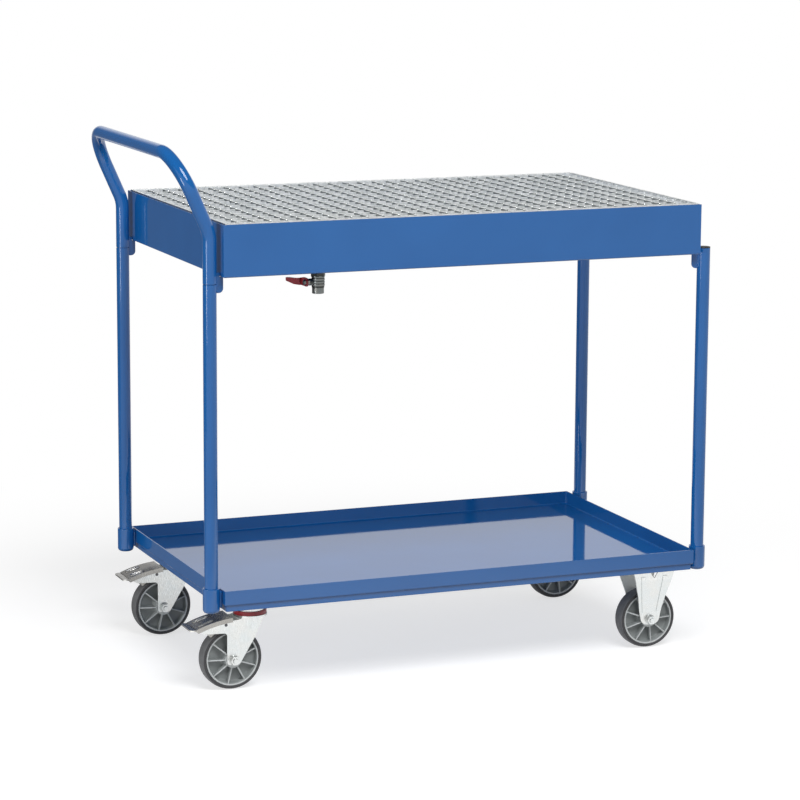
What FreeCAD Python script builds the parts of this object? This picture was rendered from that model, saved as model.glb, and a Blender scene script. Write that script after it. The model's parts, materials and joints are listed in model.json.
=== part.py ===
import FreeCAD, Part
import math
import os
import re

import Sketcher
from FreeCAD import Placement, Rotation, Vector

# A two-deck table trolley: a sump tray with a lift-out grating and a drain valve above, a shallow
# tray below, tube legs, a push handle, two braked swivel castors and two fixed castors.
# X runs from the handle end (rear) to the free end (front), the pusher's right is -Y, and the
# floor is at zero height.

# Driving sizes, in millimetres and degrees. A text that starts with = is worked out from the others.
SIZES = {
    # Sump tray and lower deck, folded from sheet
    "tray_mid": 32,
    "tray_length": 1020,
    "tray_width": 620,
    "sheet_thick": 2,
    "fold_radius": 3,
    "tray_top": 935,
    "tray_depth": 102,
    "tray_floor": "=tray_top - tray_depth",
    "tray_inner_length": "=tray_length - 2 * sheet_thick",
    "tray_inner_width": "=tray_width - 2 * sheet_thick",
    "deck_top": 218,
    "deck_depth": 30,
    "deck_floor": "=deck_top - deck_depth",
    # Grating and the ledges that carry it
    "grating_gap": 3,
    "grating_length": "=tray_inner_length - 2 * grating_gap",
    "grating_width": "=tray_inner_width - 2 * grating_gap",
    "grating_height": 20,
    "grating_bottom": "=tray_top - grating_height",
    "border_thick": 3,
    "border_inner_length": "=grating_length - 2 * border_thick",
    "border_inner_width": "=grating_width - 2 * border_thick",
    "bar_thick": 2,
    "cross_height": 10,
    "cross_drop": 1,
    "cells_long": 30,
    "cells_wide": 18,
    "ledge_leg": 20,
    "ledge_thick": 3,
    # Legs, sockets and lugs
    "tube_radius": 13.45,
    "tube_wall": 2,
    "leg_out": 20,
    "leg_x": "=tray_length / 2 + leg_out",
    "leg_y": 285,
    "leg_top": 843,
    "socket_radius": 16.8,
    "socket_bottom": 172,
    "socket_top": 221,
    "socket_floor": 6,
    "socket_round": 7,
    "socket_clear": 0.15,
    "leg_foot": "=socket_bottom + socket_floor",
    "lug_thick": 4,
    "lug_bottom": 801.5,
    "lug_top": 841,
    "lug_reach": 27,
    "lug_round": 9,
    "low_lug_width": 8,
    "low_lug_bottom": 181,
    "low_lug_top": 215,
    "plug_cap": 2.2,
    "plug_depth": 15,
    # Push handle
    "joint_height": 820,
    "joint_gap": 1.2,
    "kink_height": 916,
    "handle_height": 1068,
    "handle_reach": 67.35,
    "kink_bend": 70,
    "corner_bend": 85,
    "spigot_clear": 0.1,
    "spigot_half": 35,
    # Base frame and castor rails
    "base_inset": 4,
    "base_drop": 12,
    "base_thick": 3,
    "base_flange": 20,
    "base_outer_length": "=tray_length - 2 * base_inset",
    "base_outer_width": "=tray_width - 2 * base_inset",
    "base_inner_length": "=base_outer_length - 2 * base_thick",
    "base_inner_width": "=base_outer_width - 2 * base_thick",
    "base_open_length": "=base_inner_length - 2 * base_flange",
    "base_open_width": "=base_inner_width - 2 * base_flange",
    "rail_width": 100,
    "rail_height": 9,
    "rail_thick": 3,
    "rail_length": "=base_inner_width - 1",
    "mount_height": "=deck_floor - base_thick - rail_height",
    # Castors
    "castor_y": 226,
    "rear_axle": -440,
    "front_axle": 474,
    "swivel_trail": 42,
    "swivel_x": "=rear_axle + swivel_trail",
    "wheel_radius": 62.5,
    "tread_half": 18,
    "tread_flat": 9,
    "tread_drop": 3,
    "tread_round": 14,
    "shoulder_round": 3.5,
    "wall_inset": 2,
    "rim_radius": 54,
    "rim_half": 15.5,
    "rim_lip": 51,
    "lip_taper": 3,
    "lip_fillet": 4,
    "web_half": 4,
    "hub_radius": 17,
    "hub_half": 21.5,
    "hub_taper": 2,
    "hub_fillet": 6,
    "rib_count": 9,
    "rib_thick": 2.6,
    "rib_drop": 1.5,
    "bearing_radius": 11,
    "sleeve_radius": 7.5,
    "axle_radius": 5,
    "axle_flats": 17,
    "axle_head": 6.4,
    "axle_nut": 8,
    "thread_end": 2.5,
    "washer_radius": 10.5,
    "washer_thick": 1.6,
    "axle_hole": "=axle_radius + 0.1",
    "rim_bore": "=bearing_radius + 0.02",
    "tyre_seat": "=rim_radius + 0.05",
    "running_clear": 0.05,
    "hub_play": 0.5,
    "overlap": 1,
    "head_clear": 0.3,
    "cheek_inner": 22.5,
    "cheek_thick": 3,
    "plate_length": 105,
    "plate_width": 85,
    "plate_thick": 3,
    "plate_under": "=mount_height - plate_thick",
    "bolt_long": 80,
    "bolt_wide": 60,
    "bolt_radius": 4,
    "bolt_flats": 13,
    "bolt_head": 5.3,
    "bolt_shank": 11,
    "hole_radius": 4.5,
    "rail_hole": "=bolt_radius + 0.05",
    # Fixed bracket, whose cheeks step out from the axle to the plate's edges
    "bracket_foot": 52,
    "bracket_foot_half": 19,
    "bracket_foot_round": 15,
    "bracket_knee": 112,
    "bracket_knee_half": 31,
    "bracket_knee_round": 90,
    "bracket_top_half": 48,
    "bracket_spread": 38.5,
    "step_low": 84,
    "step_high": 150,
    "step_bend": 30,
    "notch_half": 9,
    "notch_low": 153,
    "notch_high": 167,
    "notch_round": 2,
    "bead_low": 78,
    "bead_high": 158,
    "bead_foot_inner": 14,
    "bead_foot_outer": 18,
    "bead_head_inner": 20,
    "bead_head_outer": 30,
    "bead_rise": 1.5,
    # Swivel head and fork
    "crown_radius": 34,
    "crown_bottom": 146,
    "crown_thick": 4,
    "crown_top": "=crown_bottom + crown_thick",
    "king_radius": 6,
    "king_flats": 19,
    "king_nut": 7.7,
    "king_seat": "=king_radius + 0.02",
    "king_running": "=king_radius + running_clear",
    "race_inner": 20,
    "race_outer": 25.5,
    "cup_inner": 26,
    "cup_outer": 29.5,
    "cup_flare": 33.5,
    "cup_neck": 5,
    "cup_bottom": 153,
    "ring_inner": 30.2,
    "ring_outer": 33,
    "ring_height": 8,
    # Brake pedal
    "fork_foot": 53,
    "fork_heel": -14.3,
    "fork_toe": 12,
    "fork_foot_round": 6,
    "fork_knee_x": 44,
    "fork_knee": 106,
    "fork_knee_round": 60,
    "fork_front": 62,
    "fork_neck_x": 9,
    "fork_neck": 143.9,
    "fork_back": 16,
    "fork_arch_x": -20,
    "fork_arch": 141.2,
    "fork_arch_round": 70,
    "beak_x": -73,
    "beak_top": 127.8,
    "beak_under_x": -60,
    "beak_under": 119.5,
    "fork_arm": 118,
    "beak_round": 3.5,
    "bridge_reach": 30,
    # Brake pedal, an arched pressing
    "pin_x": -16.3,
    "pin_height": 135,
    "pin_radius": 3,
    "pin_seat": "=pin_radius + 0.02",
    "pin_running": "=pin_radius + running_clear",
    "pedal_tip": -78,
    "pedal_low": 129.5,
    "pedal_end": -4,
    "pedal_high": 147.2,
    "pedal_bow": 3,
    "pedal_width": 64,
    "pedal_thick": 3,
    "pedal_rim": 6,
    "lip_reach": 14,
    "lip_drop": 1,
    "lip_round": 8,
    "pedal_hollow": "=pedal_width - 2 * pedal_thick",
    "slot_from": 9,
    "slot_to": 38,
    "slot_inner": 14,
    "slot_wide": 6,
    "ear_inner": 16.5,
    "ear_thick": 3,
    "ear_reach": 8,
    "ear_round": 7,
    "ear_from": 50,
    "ear_to": 73,
    "shoe_width": 24,
    "shoe_from": 27,
    "shoe_to": 43,
    "shoe_tip_x": -45,
    "shoe_tip": 107.8,
    "shoe_heel_x": -33,
    "shoe_heel": 117.6,
    "shoe_round": 2,
    # Drain valve
    "drain_x": -258,
    "drain_y": -235,
    "drain_hole": 9,
    "boss_radius": 18,
    "boss_thick": 4,
    "boss_round": 1.5,
    "nipple_radius": 10.3,
    "nipple_depth": 14,
    "nipple_bore": 7.5,
    "valve_top": "=tray_floor - boss_thick",
    "valve_flats": 26,
    "valve_hex": 12,
    "valve_radius": 12.4,
    "valve_bore": 10.5,
    "valve_body_depth": 34,
    "valve_split": "=valve_top - valve_body_depth",
    "valve_axis": "=valve_split + 11",
    "end_radius": 11.8,
    "end_depth": 12,
    "end_spigot": 2,
    "end_round": 1,
    "thread_radius": 9.3,
    "thread_depth": 10,
    "ball_radius": 9.5,
    "ball_bore": 6,
    "seat_inner": 6.5,
    "seat_gap": 7.4,
    "seat_back": 9,
    "stem_radius": 3.5,
    "stem_clear": 0.06,
    "stem_hole": "=stem_radius + stem_clear",
    "bore_fit": 0.1,
    "stem_boss_radius": 7,
    "stem_boss_reach": 18,
    "gland_flats": 12,
    "gland_reach": 22.5,
    "lever_face": 23,
    "lever_thick": 3,
    "lever_grip_thick": 7,
    "lever_length": 104,
    "lever_hub": 8.5,
    "lever_neck": 12.5,
    "lever_round": 7,
    "blade_end": 34,
    "blade_low": 9,
    "blade_high": 4.5,
    "grip_start": 24,
    "grip_start_low": 8.5,
    "grip_start_high": 6,
    "grip_bend": 58,
    "grip_bend_low": 11.3,
    "grip_bend_high": 0.8,
    "grip_end_low": 10.5,
    "grip_end_high": -3.5,
    "grip_bend_round": 40,
    "grip_round": 3,
    "stem_reach": 31,
    "lever_nut_flats": 10,
    "tang_half": 2.4,
    "tang_depth": 2.5,
}

SIDES = {"right": -1, "left": 1}
ENDS = {"rear": -1, "front": 1}
# How far each end's wheels rest turned, in steps from rib to rib
RIB_STEPS = {"rear": 0.5, "front": 0}
DRAIN = ("drain_x", "drain_y")
UPRIGHT = Rotation()
ALONG_Y = Rotation(Vector(1, 0, 0), -90)
AGAINST_X = Rotation(Vector(0, 1, 0), -90)

doc = FreeCAD.newDocument("table_trolley")
sheet = doc.addObject("Spreadsheet::Sheet", "Sizes")
for row, (alias, amount) in enumerate(SIZES.items(), start=1):
    sheet.set(f"A{row}", alias)
    sheet.set(f"B{row}", str(amount))
    sheet.setAlias(f"B{row}", alias)
doc.recompute()

pieces = []


# Reading and binding sizes
def size(alias):
    """The number that the sheet holds under an alias."""
    return float(sheet.get(alias))


def linked(text):
    """An expression whose aliases refer to the sheet."""
    return re.sub(r"[a-z]\w*", lambda found: f"Sizes.{found[0]}" if found[0] in SIZES else found[0], text)


def bind(item, **sizes):
    """Bind properties of an object to expressions of the sheet's aliases."""
    for name, text in sizes.items():
        item.setExpression(name, linked(text))
    return item


def place(item, x="0", y="0", z="0", turn=UPRIGHT):
    """Put an object at a bound position, turned as given."""
    item.Placement = Placement(Vector(), turn)
    for axis, text in zip("xyz", (x, y, z)):
        item.setExpression(f".Placement.Base.{axis}", linked(text))
    return item


def keep(name, item):
    """Name a finished sub-part and put it on the list to export."""
    item.Label = name
    pieces.append(item)
    return item


# Plain solids
def box(name, length, width, height, x, y, z):
    """A block from its lowest corner."""
    block = doc.addObject("Part::Box", name)
    bind(block, Length=length, Width=width, Height=height)
    return place(block, x, y, z)


def bar_between(name, x, y, z, length, width, height):
    """A block centred on x and y that stands on z."""
    return box(name, length, width, height, f"{x} - ({length}) / 2", f"{y} - ({width}) / 2", z)


def rod(name, radius, height, x, y, z, turn=UPRIGHT):
    """A round bar from the middle of its first end."""
    bar = doc.addObject("Part::Cylinder", name)
    bind(bar, Radius=radius, Height=height)
    return place(bar, x, y, z, turn)


def hexagon(name, flats, height, x, y, z, turn=UPRIGHT):
    """A hexagon bar, by its width across flats."""
    bar = doc.addObject("Part::Prism", name)
    bar.Polygon = 6
    bind(bar, Circumradius=f"({flats}) / sqrt(3)", Height=height)
    return place(bar, x, y, z, turn)


def cut(name, base, tool):
    """One solid taken out of another."""
    result = doc.addObject("Part::Cut", name)
    result.Base = base
    result.Tool = tool
    return result


def fuse(name, solids):
    """Several solids made one."""
    result = doc.addObject("Part::MultiFuse", name)
    result.Shapes = solids
    return result


def common(name, solids):
    """What several solids share."""
    result = doc.addObject("Part::MultiCommon", name)
    result.Shapes = solids
    return result


def group(name, solids):
    """Separate solids that share one node."""
    result = doc.addObject("Part::Compound", name)
    result.Links = solids
    return result


def tube(name, outer, inner, height, x, y, z, turn=UPRIGHT):
    """A round tube from the middle of its first end."""
    outside = rod(f"{name}_outside", outer, height, x, y, z, turn)
    return cut(f"{name}_wall", outside, rod(f"{name}_bore", inner, height, x, y, z, turn))


# Outlines and sketched bodies
def rounded_run(corners, closed=True):
    """Lines and tangent arcs through (point, radius) corners, in order."""
    count = len(corners)
    entry, leave, bends = [], [], []
    for index, (here, radius) in enumerate(corners):
        back = corners[index - 1][0] - here
        ahead = corners[(index + 1) % count][0] - here
        if not radius:
            entry.append(here)
            leave.append(here)
            bends.append(None)
            continue
        back.normalize()
        ahead.normalize()
        half = back.getAngle(ahead) / 2
        reach = radius / math.tan(half)
        inward = (back + ahead).normalize()
        entry.append(here + back * reach)
        leave.append(here + ahead * reach)
        crest = here + inward * (radius / math.sin(half) - radius)
        bends.append(Part.ArcOfCircle(entry[-1], crest, leave[-1]))
    curves = []
    for index in range(count):
        if bends[index]:
            curves.append(bends[index])
        if closed or index < count - 1:
            curves.append(Part.LineSegment(leave[index], entry[(index + 1) % count]))
    return curves


def new_body(name):
    """An empty body for sketched features."""
    return doc.addObject("PartDesign::Body", name)


def origin_part(body, role):
    """One of the body's own origin planes or axes."""
    return next(feature for feature in body.Origin.OriginFeatures if feature.Role == role)


def sketch_on(body, role, name, offset=None):
    """A sketch on an origin plane, moved along the plane's normal by a bound offset."""
    drawn = body.newObject("Sketcher::SketchObject", name)
    drawn.AttachmentSupport = [(origin_part(body, role), "")]
    drawn.MapMode = "FlatFace"
    if offset:
        drawn.setExpression("AttachmentOffset.Base.z", linked(offset))
    return drawn


def outline(drawn, corners):
    """A closed outline through (x, y, radius) corners."""
    for curve in rounded_run([(Vector(x, y, 0), radius) for x, y, radius in corners]):
        drawn.addGeometry(curve)


def sized_outline(drawn, corners):
    """A closed outline through corners read from the sheet; a corner without a radius is sharp."""
    outline(drawn, [[size(alias) for alias in corner] + [0] * (3 - len(corner)) for corner in corners])


def rectangle(drawn, wide, high):
    """A rectangle round the sketch's origin, its two sides bound to the sheet."""
    half_wide, half_high = size(wide) / 2, size(high) / 2
    first = drawn.GeometryCount
    turns = [(-1, -1), (1, -1), (1, 1), (-1, 1)]
    points = [Vector(along * half_wide, across * half_high, 0) for along, across in turns]
    for index in range(4):
        drawn.addGeometry(Part.LineSegment(points[index], points[(index + 1) % 4]))
    for index in range(4):
        following = first + (index + 1) % 4
        drawn.addConstraint(Sketcher.Constraint("Coincident", first + index, 2, following, 1))
    for index, direction in enumerate(("Horizontal", "Vertical") * 2):
        drawn.addConstraint(Sketcher.Constraint(direction, first + index))
    drawn.addConstraint(Sketcher.Constraint("Symmetric", first, 1, first + 1, 2, -1, 1))
    for side, direction, alias in ((first, "DistanceX", wide), (first + 1, "DistanceY", high)):
        bound = drawn.addConstraint(Sketcher.Constraint(direction, side, 1, side, 2, size(alias)))
        drawn.setExpression(f"Constraints[{bound}]", linked(alias))


def circle(drawn, x, y, radius):
    """A circle at a fixed place in the sketch, its radius bound to the sheet."""
    ring = drawn.addGeometry(Part.Circle(Vector(x, y, 0), Vector(0, 0, 1), size(radius)))
    bound = drawn.addConstraint(Sketcher.Constraint("Radius", ring, size(radius)))
    drawn.setExpression(f"Constraints[{bound}]", linked(radius))


def pad(drawn, length, both_ways=False):
    """A sketch raised along its normal."""
    body = drawn.getParentGeoFeatureGroup()
    raised = body.newObject("PartDesign::Pad", f"{drawn.Name}_pad")
    raised.Profile = drawn
    raised.SideType = "Symmetric" if both_ways else "One side"
    return bind(raised, Length=length)


def pocket(drawn, length, both_ways=False, reverse=False):
    """A sketch cut into the body. The depth runs against the sketch's normal unless reversed."""
    body = drawn.getParentGeoFeatureGroup()
    hollow = body.newObject("PartDesign::Pocket", f"{drawn.Name}_pocket")
    hollow.Profile = drawn
    hollow.SideType = "Symmetric" if both_ways else "One side"
    hollow.Reversed = reverse
    return bind(hollow, Length=length)


def revolve(drawn):
    """A sketch turned round the body's upright axis."""
    body = drawn.getParentGeoFeatureGroup()
    turned = body.newObject("PartDesign::Revolution", f"{drawn.Name}_turned")
    turned.Profile = drawn
    turned.ReferenceAxis = (drawn, ["V_Axis"])
    turned.Angle = 360
    return turned


def mirror(body, features, role):
    """Features repeated on the other side of an origin plane."""
    copied = body.newObject("PartDesign::Mirrored", f"{body.Name}_mirrored")
    copied.Originals = features
    copied.MirrorPlane = (origin_part(body, role), [""])
    body.Tip = copied
    return copied


def corner_signs():
    """The four corners of a rectangle as pairs of signs."""
    return [(along, across) for along in (-1, 1) for across in (-1, 1)]


# Trays
def folded_tray(name, top, depth, drain=False):
    """An open tray with folded bottom edges, and a drain hole where asked."""
    body = new_body(name)
    block = sketch_on(body, "XY_Plane", f"{name}_block", f"{top} - {depth}")
    rectangle(block, "tray_length", "tray_width")
    pad(block, depth)
    inside = sketch_on(body, "XY_Plane", f"{name}_inside", top)
    rectangle(inside, "tray_inner_length", "tray_inner_width")
    pocket(inside, f"{depth} - sheet_thick")
    if drain:
        mouth = sketch_on(body, "XY_Plane", f"{name}_drain", top)
        circle(mouth, size("drain_x") - size("tray_mid"), size("drain_y"), "drain_hole")
        pocket(mouth, depth)
    doc.recompute()
    hollowed = body.Tip
    floor = size(top) - size(depth)
    outer_edges = [
        f"Edge{index}"
        for index, edge in enumerate(hollowed.Shape.Edges, start=1)
        if edge.BoundBox.ZMax < floor + 0.01 and edge.Length > size("tray_width") - 1
    ]
    fold = body.newObject("PartDesign::Fillet", f"{name}_fold")
    fold.Base = (hollowed, outer_edges)
    bind(fold, Radius="fold_radius")
    return keep(name, place(body, "tray_mid"))


folded_tray("upper_tray", "tray_top", "tray_depth", drain=True)
folded_tray("lower_tray", "deck_top", "deck_depth")


# Grating: border ring, bearing bars across, cross bars pressed through them, and the ledges
def grating_ledges():
    """Four angle strips inside the sump, whose upper legs carry the grating."""
    strips = []
    top = "grating_bottom"
    for name, sign in SIDES.items():
        wall = f"{sign} * (tray_inner_width - ledge_thick) / 2"
        shelf = f"{sign} * (tray_inner_width - ledge_leg) / 2"
        strips.append(fuse(f"ledge_{name}", [
            bar_between(f"ledge_wall_{name}", "tray_mid", wall, f"{top} - ledge_leg",
                        "tray_inner_length", "ledge_thick", "ledge_leg"),
            bar_between(f"ledge_shelf_{name}", "tray_mid", shelf, f"{top} - ledge_thick",
                        "tray_inner_length", "ledge_leg", "ledge_thick"),
        ]))
    short = "tray_inner_width - 2 * ledge_leg"
    for name, sign in ENDS.items():
        wall = f"tray_mid + {sign} * (tray_inner_length - ledge_thick) / 2"
        shelf = f"tray_mid + {sign} * (tray_inner_length - ledge_leg) / 2"
        strips.append(fuse(f"ledge_{name}", [
            bar_between(f"ledge_wall_{name}", wall, "0", f"{top} - ledge_leg",
                        "ledge_thick", short, "ledge_leg"),
            bar_between(f"ledge_shelf_{name}", shelf, "0", f"{top} - ledge_thick",
                        "ledge_leg", short, "ledge_thick"),
        ]))
    return keep("grating_ledges", group("ledges", strips))


def grating_border():
    """The flat bar ring round the grating."""
    body = new_body("grating_border")
    ring = sketch_on(body, "XY_Plane", "border_ring", "grating_bottom")
    rectangle(ring, "grating_length", "grating_width")
    rectangle(ring, "border_inner_length", "border_inner_width")
    pad(ring, "grating_height")
    return keep("grating_border", place(body, "tray_mid"))


def grating_bars():
    """Bearing bars across the tray and cross bars along it, on an even pitch."""
    bearing = []
    for index in range(1, int(size("cells_long"))):
        step = f"({index} - cells_long / 2) * border_inner_length / cells_long"
        bearing.append(bar_between(f"bearing_bar_{index}", f"tray_mid + {step}", "0", "grating_bottom",
                                   "bar_thick", "border_inner_width", "grating_height"))
    keep("grating_bearing_bars", group("bearing_bars", bearing))
    crossing = []
    low = "tray_top - cross_drop - cross_height"
    for index in range(1, int(size("cells_wide"))):
        step = f"({index} - cells_wide / 2) * border_inner_width / cells_wide"
        crossing.append(bar_between(f"cross_bar_{index}", "tray_mid", step, low,
                                    "border_inner_length", "bar_thick", "cross_height"))
    keep("grating_cross_bars", group("cross_bars", crossing))


grating_ledges()
grating_border()
grating_bars()


# Legs, sockets, lugs and plugs
def leg_position(end, side):
    """The bound X and Y of a leg's axis."""
    return f"tray_mid + {ENDS[end]} * leg_x", f"{SIDES[side]} * leg_y"


def leg_socket(name, x, y):
    """A cup with a rounded foot that the leg stands in."""
    body = new_body(f"socket_{name}")
    wall = size("socket_radius")
    bore = size("tube_radius") + size("socket_clear")
    low, floor, high = size("socket_bottom"), size("leg_foot"), size("socket_top")
    section = sketch_on(body, "XZ_Plane", f"socket_section_{name}")
    outline(section, [
        (0, low, 0), (wall, low, size("socket_round")), (wall, high, 0),
        (bore, high, 0), (bore, floor, 0), (0, floor, 0),
    ])
    revolve(section)
    return place(body, x, y)


def upper_lug(name, end, x, y):
    """A sheet lug from the leg to the end and underside of the sump tray, its inner corner rounded."""
    body = new_body(f"lug_{name}")
    inward = -ENDS[end]
    near, wall, far = size("tube_radius"), size("leg_out"), size("lug_reach")
    low, under, high = size("lug_bottom"), size("tray_floor"), size("lug_top")
    plate = sketch_on(body, "XZ_Plane", f"lug_plate_{name}")
    outline(plate, [
        (inward * near, low, 0), (inward * far, low, size("lug_round")), (inward * far, under, 0),
        (inward * wall, under, 0), (inward * wall, high, 0), (inward * near, high, 0),
    ])
    pad(plate, "lug_thick", both_ways=True)
    return place(body, x, y)


def lower_lug(name, end, x, y):
    """A bar between the lower tray's end and the socket, hollowed to the socket's round."""
    outward = ENDS[end]
    middle = f"tray_mid + {outward} * (tray_length / 2 + leg_out / 4)"
    bar = bar_between(f"low_lug_bar_{name}", middle, y, "low_lug_bottom",
                      "leg_out / 2", "low_lug_width", "low_lug_top - low_lug_bottom")
    socket = rod(f"low_lug_round_{name}", "socket_radius", "socket_top", x, y, "0")
    return cut(f"low_lug_{name}", bar, socket)


def leg_plug(name, x, y):
    """A plug in a leg's open top."""
    cap = rod(f"plug_cap_{name}", "tube_radius", "plug_cap", x, y, "leg_top")
    stalk = rod(f"plug_stalk_{name}", "tube_radius - tube_wall - spigot_clear", "plug_depth",
                x, y, "leg_top - plug_depth")
    return fuse(f"plug_{name}", [cap, stalk])


def legs():
    """The four legs with what holds them to the trays."""
    sockets, high_lugs, low_lugs, plugs, spigots = [], [], [], [], []
    for end in ENDS:
        top = "(joint_height - joint_gap)" if end == "rear" else "leg_top"
        for side in SIDES:
            name = f"{end}_{side}"
            x, y = leg_position(end, side)
            keep(f"leg_{name}", tube(f"leg_{name}", "tube_radius", "tube_radius - tube_wall",
                                     f"{top} - leg_foot", x, y, "leg_foot"))
            sockets.append(leg_socket(name, x, y))
            high_lugs.append(upper_lug(name, end, x, y))
            low_lugs.append(lower_lug(name, end, x, y))
            if end == "front":
                plugs.append(leg_plug(name, x, y))
            else:
                sleeve = "tube_radius - tube_wall - spigot_clear"
                spigots.append(tube(f"spigot_{name}", sleeve, f"{sleeve} - tube_wall", "2 * spigot_half",
                                    x, y, "joint_height - spigot_half"))
    keep("leg_sockets", group("sockets", sockets))
    keep("upper_lugs", group("high_lugs", high_lugs))
    keep("lower_lugs", group("low_lugs", low_lugs))
    keep("leg_plugs", group("plugs", plugs))
    keep("handle_spigots", group("spigots", spigots))


legs()


# Push handle: one tube bent up from both rear legs, leaning out to a crossbar
def push_handle():
    """A tube swept along straight runs and tangent bends."""
    leg_at = size("tray_mid") - size("leg_x")
    bar_at = leg_at - size("handle_reach")
    corners = []
    for sign in SIDES.values():
        across = sign * size("leg_y")
        run = [
            (Vector(leg_at, across, size("joint_height")), 0),
            (Vector(leg_at, across, size("kink_height")), size("kink_bend")),
            (Vector(bar_at, across, size("handle_height")), size("corner_bend")),
        ]
        corners += run if sign < 0 else run[::-1]
    path = doc.addObject("Part::Feature", "handle_path")
    path.Shape = Part.Wire([curve.toShape() for curve in rounded_run(corners, closed=False)])
    edges = [f"Edge{index}" for index in range(1, len(path.Shape.Edges) + 1)]
    sweeps = []
    for part, radius in (("outside", "tube_radius"), ("inside", "tube_radius - tube_wall")):
        ring = bind(doc.addObject("Part::Circle", f"handle_{part}_ring"), Radius=radius)
        place(ring, "tray_mid - leg_x", "-leg_y", "joint_height")
        sweep = doc.addObject("Part::Sweep", f"handle_{part}")
        sweep.Sections = [ring]
        sweep.Spine = (path, edges)
        sweep.Solid = True
        sweeps.append(sweep)
    return keep("push_handle", cut("handle_tube", *sweeps))


push_handle()


# Base frame and castor rails
def base_frame():
    """A welded angle ring under the lower tray."""
    body = new_body("base_frame")
    rim = sketch_on(body, "XY_Plane", "base_rim", "deck_floor - base_drop")
    rectangle(rim, "base_outer_length", "base_outer_width")
    rectangle(rim, "base_inner_length", "base_inner_width")
    pad(rim, "base_drop")
    flange = sketch_on(body, "XY_Plane", "base_flange_ring", "deck_floor - base_thick")
    rectangle(flange, "base_outer_length", "base_outer_width")
    rectangle(flange, "base_open_length", "base_open_width")
    pad(flange, "base_thick")
    return keep("base_frame", place(body, "tray_mid"))


def castor_rail(end, x):
    """A channel across the frame, open at the top, with holes for two castor plates."""
    outer = bar_between(f"rail_outer_{end}", x, "0", "mount_height",
                        "rail_width", "rail_length", "rail_height")
    inner = bar_between(f"rail_inner_{end}", x, "0", "mount_height + rail_thick",
                        "rail_width - 2 * rail_thick", "rail_length", "rail_height")
    channel = cut(f"rail_channel_{end}", outer, inner)
    holes = [
        rod(f"rail_hole_{end}_{side}_{along}_{across}".replace("-", "n"), "rail_hole", "2 * rail_thick",
            f"{x} + {along} * bolt_long / 2", f"{sign} * castor_y + {across} * bolt_wide / 2",
            "mount_height - rail_thick / 2")
        for side, sign in SIDES.items() for along, across in corner_signs()
    ]
    return cut(f"rail_{end}", channel, group(f"rail_holes_{end}", holes))


def castor_bolts():
    """Hexagon bolts up through each castor plate into its rail."""
    bolts = []
    for end, x in (("rear", "swivel_x"), ("front", "front_axle")):
        for side, sign in SIDES.items():
            for along, across in corner_signs():
                name = f"{end}_{side}_{along}_{across}".replace("-", "n")
                at_x = f"{x} + {along} * bolt_long / 2"
                at_y = f"{sign} * castor_y + {across} * bolt_wide / 2"
                bolts.append(fuse(f"bolt_{name}", [
                    hexagon(f"bolt_head_{name}", "bolt_flats", "bolt_head", at_x, at_y,
                            "plate_under - bolt_head"),
                    rod(f"bolt_shank_{name}", "bolt_radius", "bolt_shank", at_x, at_y, "plate_under"),
                ]))
    return keep("castor_bolts", group("plate_bolts", bolts))


base_frame()
keep("castor_rails", group("rails", [castor_rail("rear", "swivel_x"), castor_rail("front", "front_axle")]))
castor_bolts()


# Wheels, axles and plain sleeves, the same in all four castors
def wheel_rim(name, x, y, turn):
    """A moulded rim: hub, dished web and lip turned as one, with ribs on both faces."""
    body = new_body(name)
    bore, hub, lip, edge = size("rim_bore"), size("hub_radius"), size("rim_lip"), size("rim_radius")
    web, hub_half, rim_half, drop = size("web_half"), size("hub_half"), size("rim_half"), size("rib_drop")
    half = [
        (bore, hub_half, 0), (hub, hub_half, 0), (hub + size("hub_taper"), web, size("hub_fillet")),
        (lip - size("lip_taper"), web, size("lip_fillet")), (lip, rim_half, 0), (edge, rim_half, 0),
    ]
    section = sketch_on(body, "XZ_Plane", f"{name}_section")
    outline(section, half + [(radius, -along, fillet) for radius, along, fillet in reversed(half)])
    revolve(section)
    rib = sketch_on(body, "XZ_Plane", f"{name}_rib")
    inner, outer = hub - size("overlap"), lip + size("overlap")
    inner_half, outer_half = hub_half - drop, rim_half - drop
    outline(rib, [
        (inner, -inner_half, 0), (outer, -outer_half, 0), (outer, outer_half, 0), (inner, inner_half, 0),
    ])
    blade = pad(rib, "rib_thick", both_ways=True)
    spokes = body.newObject("PartDesign::PolarPattern", f"{name}_ribs")
    spokes.Originals = [blade]
    spokes.Axis = (origin_part(body, "Z_Axis"), [""])
    spokes.Angle = 360
    bind(spokes, Occurrences="rib_count")
    body.Tip = spokes
    return keep(name, place(body, x, y, "wheel_radius", ALONG_Y * turn))


def tyre(name, x, y):
    """A tyre with a flat crown and sloped shoulders, turned round the wheel's axis."""
    body = new_body(name)
    seat, tread, flat = size("tyre_seat"), size("wheel_radius"), size("tread_flat")
    half, shoulder = size("tread_half"), tread - size("tread_drop")
    wall = half - size("wall_inset")
    side = [
        (seat, wall, 0), (shoulder, half, size("shoulder_round")), (tread, flat, size("tread_round")),
    ]
    section = sketch_on(body, "XZ_Plane", f"{name}_section")
    outline(section, side + [(radius, -along, bend) for radius, along, bend in reversed(side)])
    revolve(section)
    return keep(name, place(body, x, y, "wheel_radius", ALONG_Y))


def wheel(end, side, x, y):
    """Rim, tyre and bearing bush of one wheel, resting at its own turn."""
    turn = Rotation(Vector(0, 0, 1), RIB_STEPS[end] * 360 / size("rib_count"))
    wheel_rim(f"{end}_rim_{side}", x, y, turn)
    tyre(f"{end}_tyre_{side}", x, y)
    name = f"{end}_bearing_{side}"
    half = "(hub_half - hub_play)"
    keep(name, tube(name, "bearing_radius", "sleeve_radius + running_clear", f"2 * {half}",
                    x, f"{y} - {half}", "wheel_radius", ALONG_Y))


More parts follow.
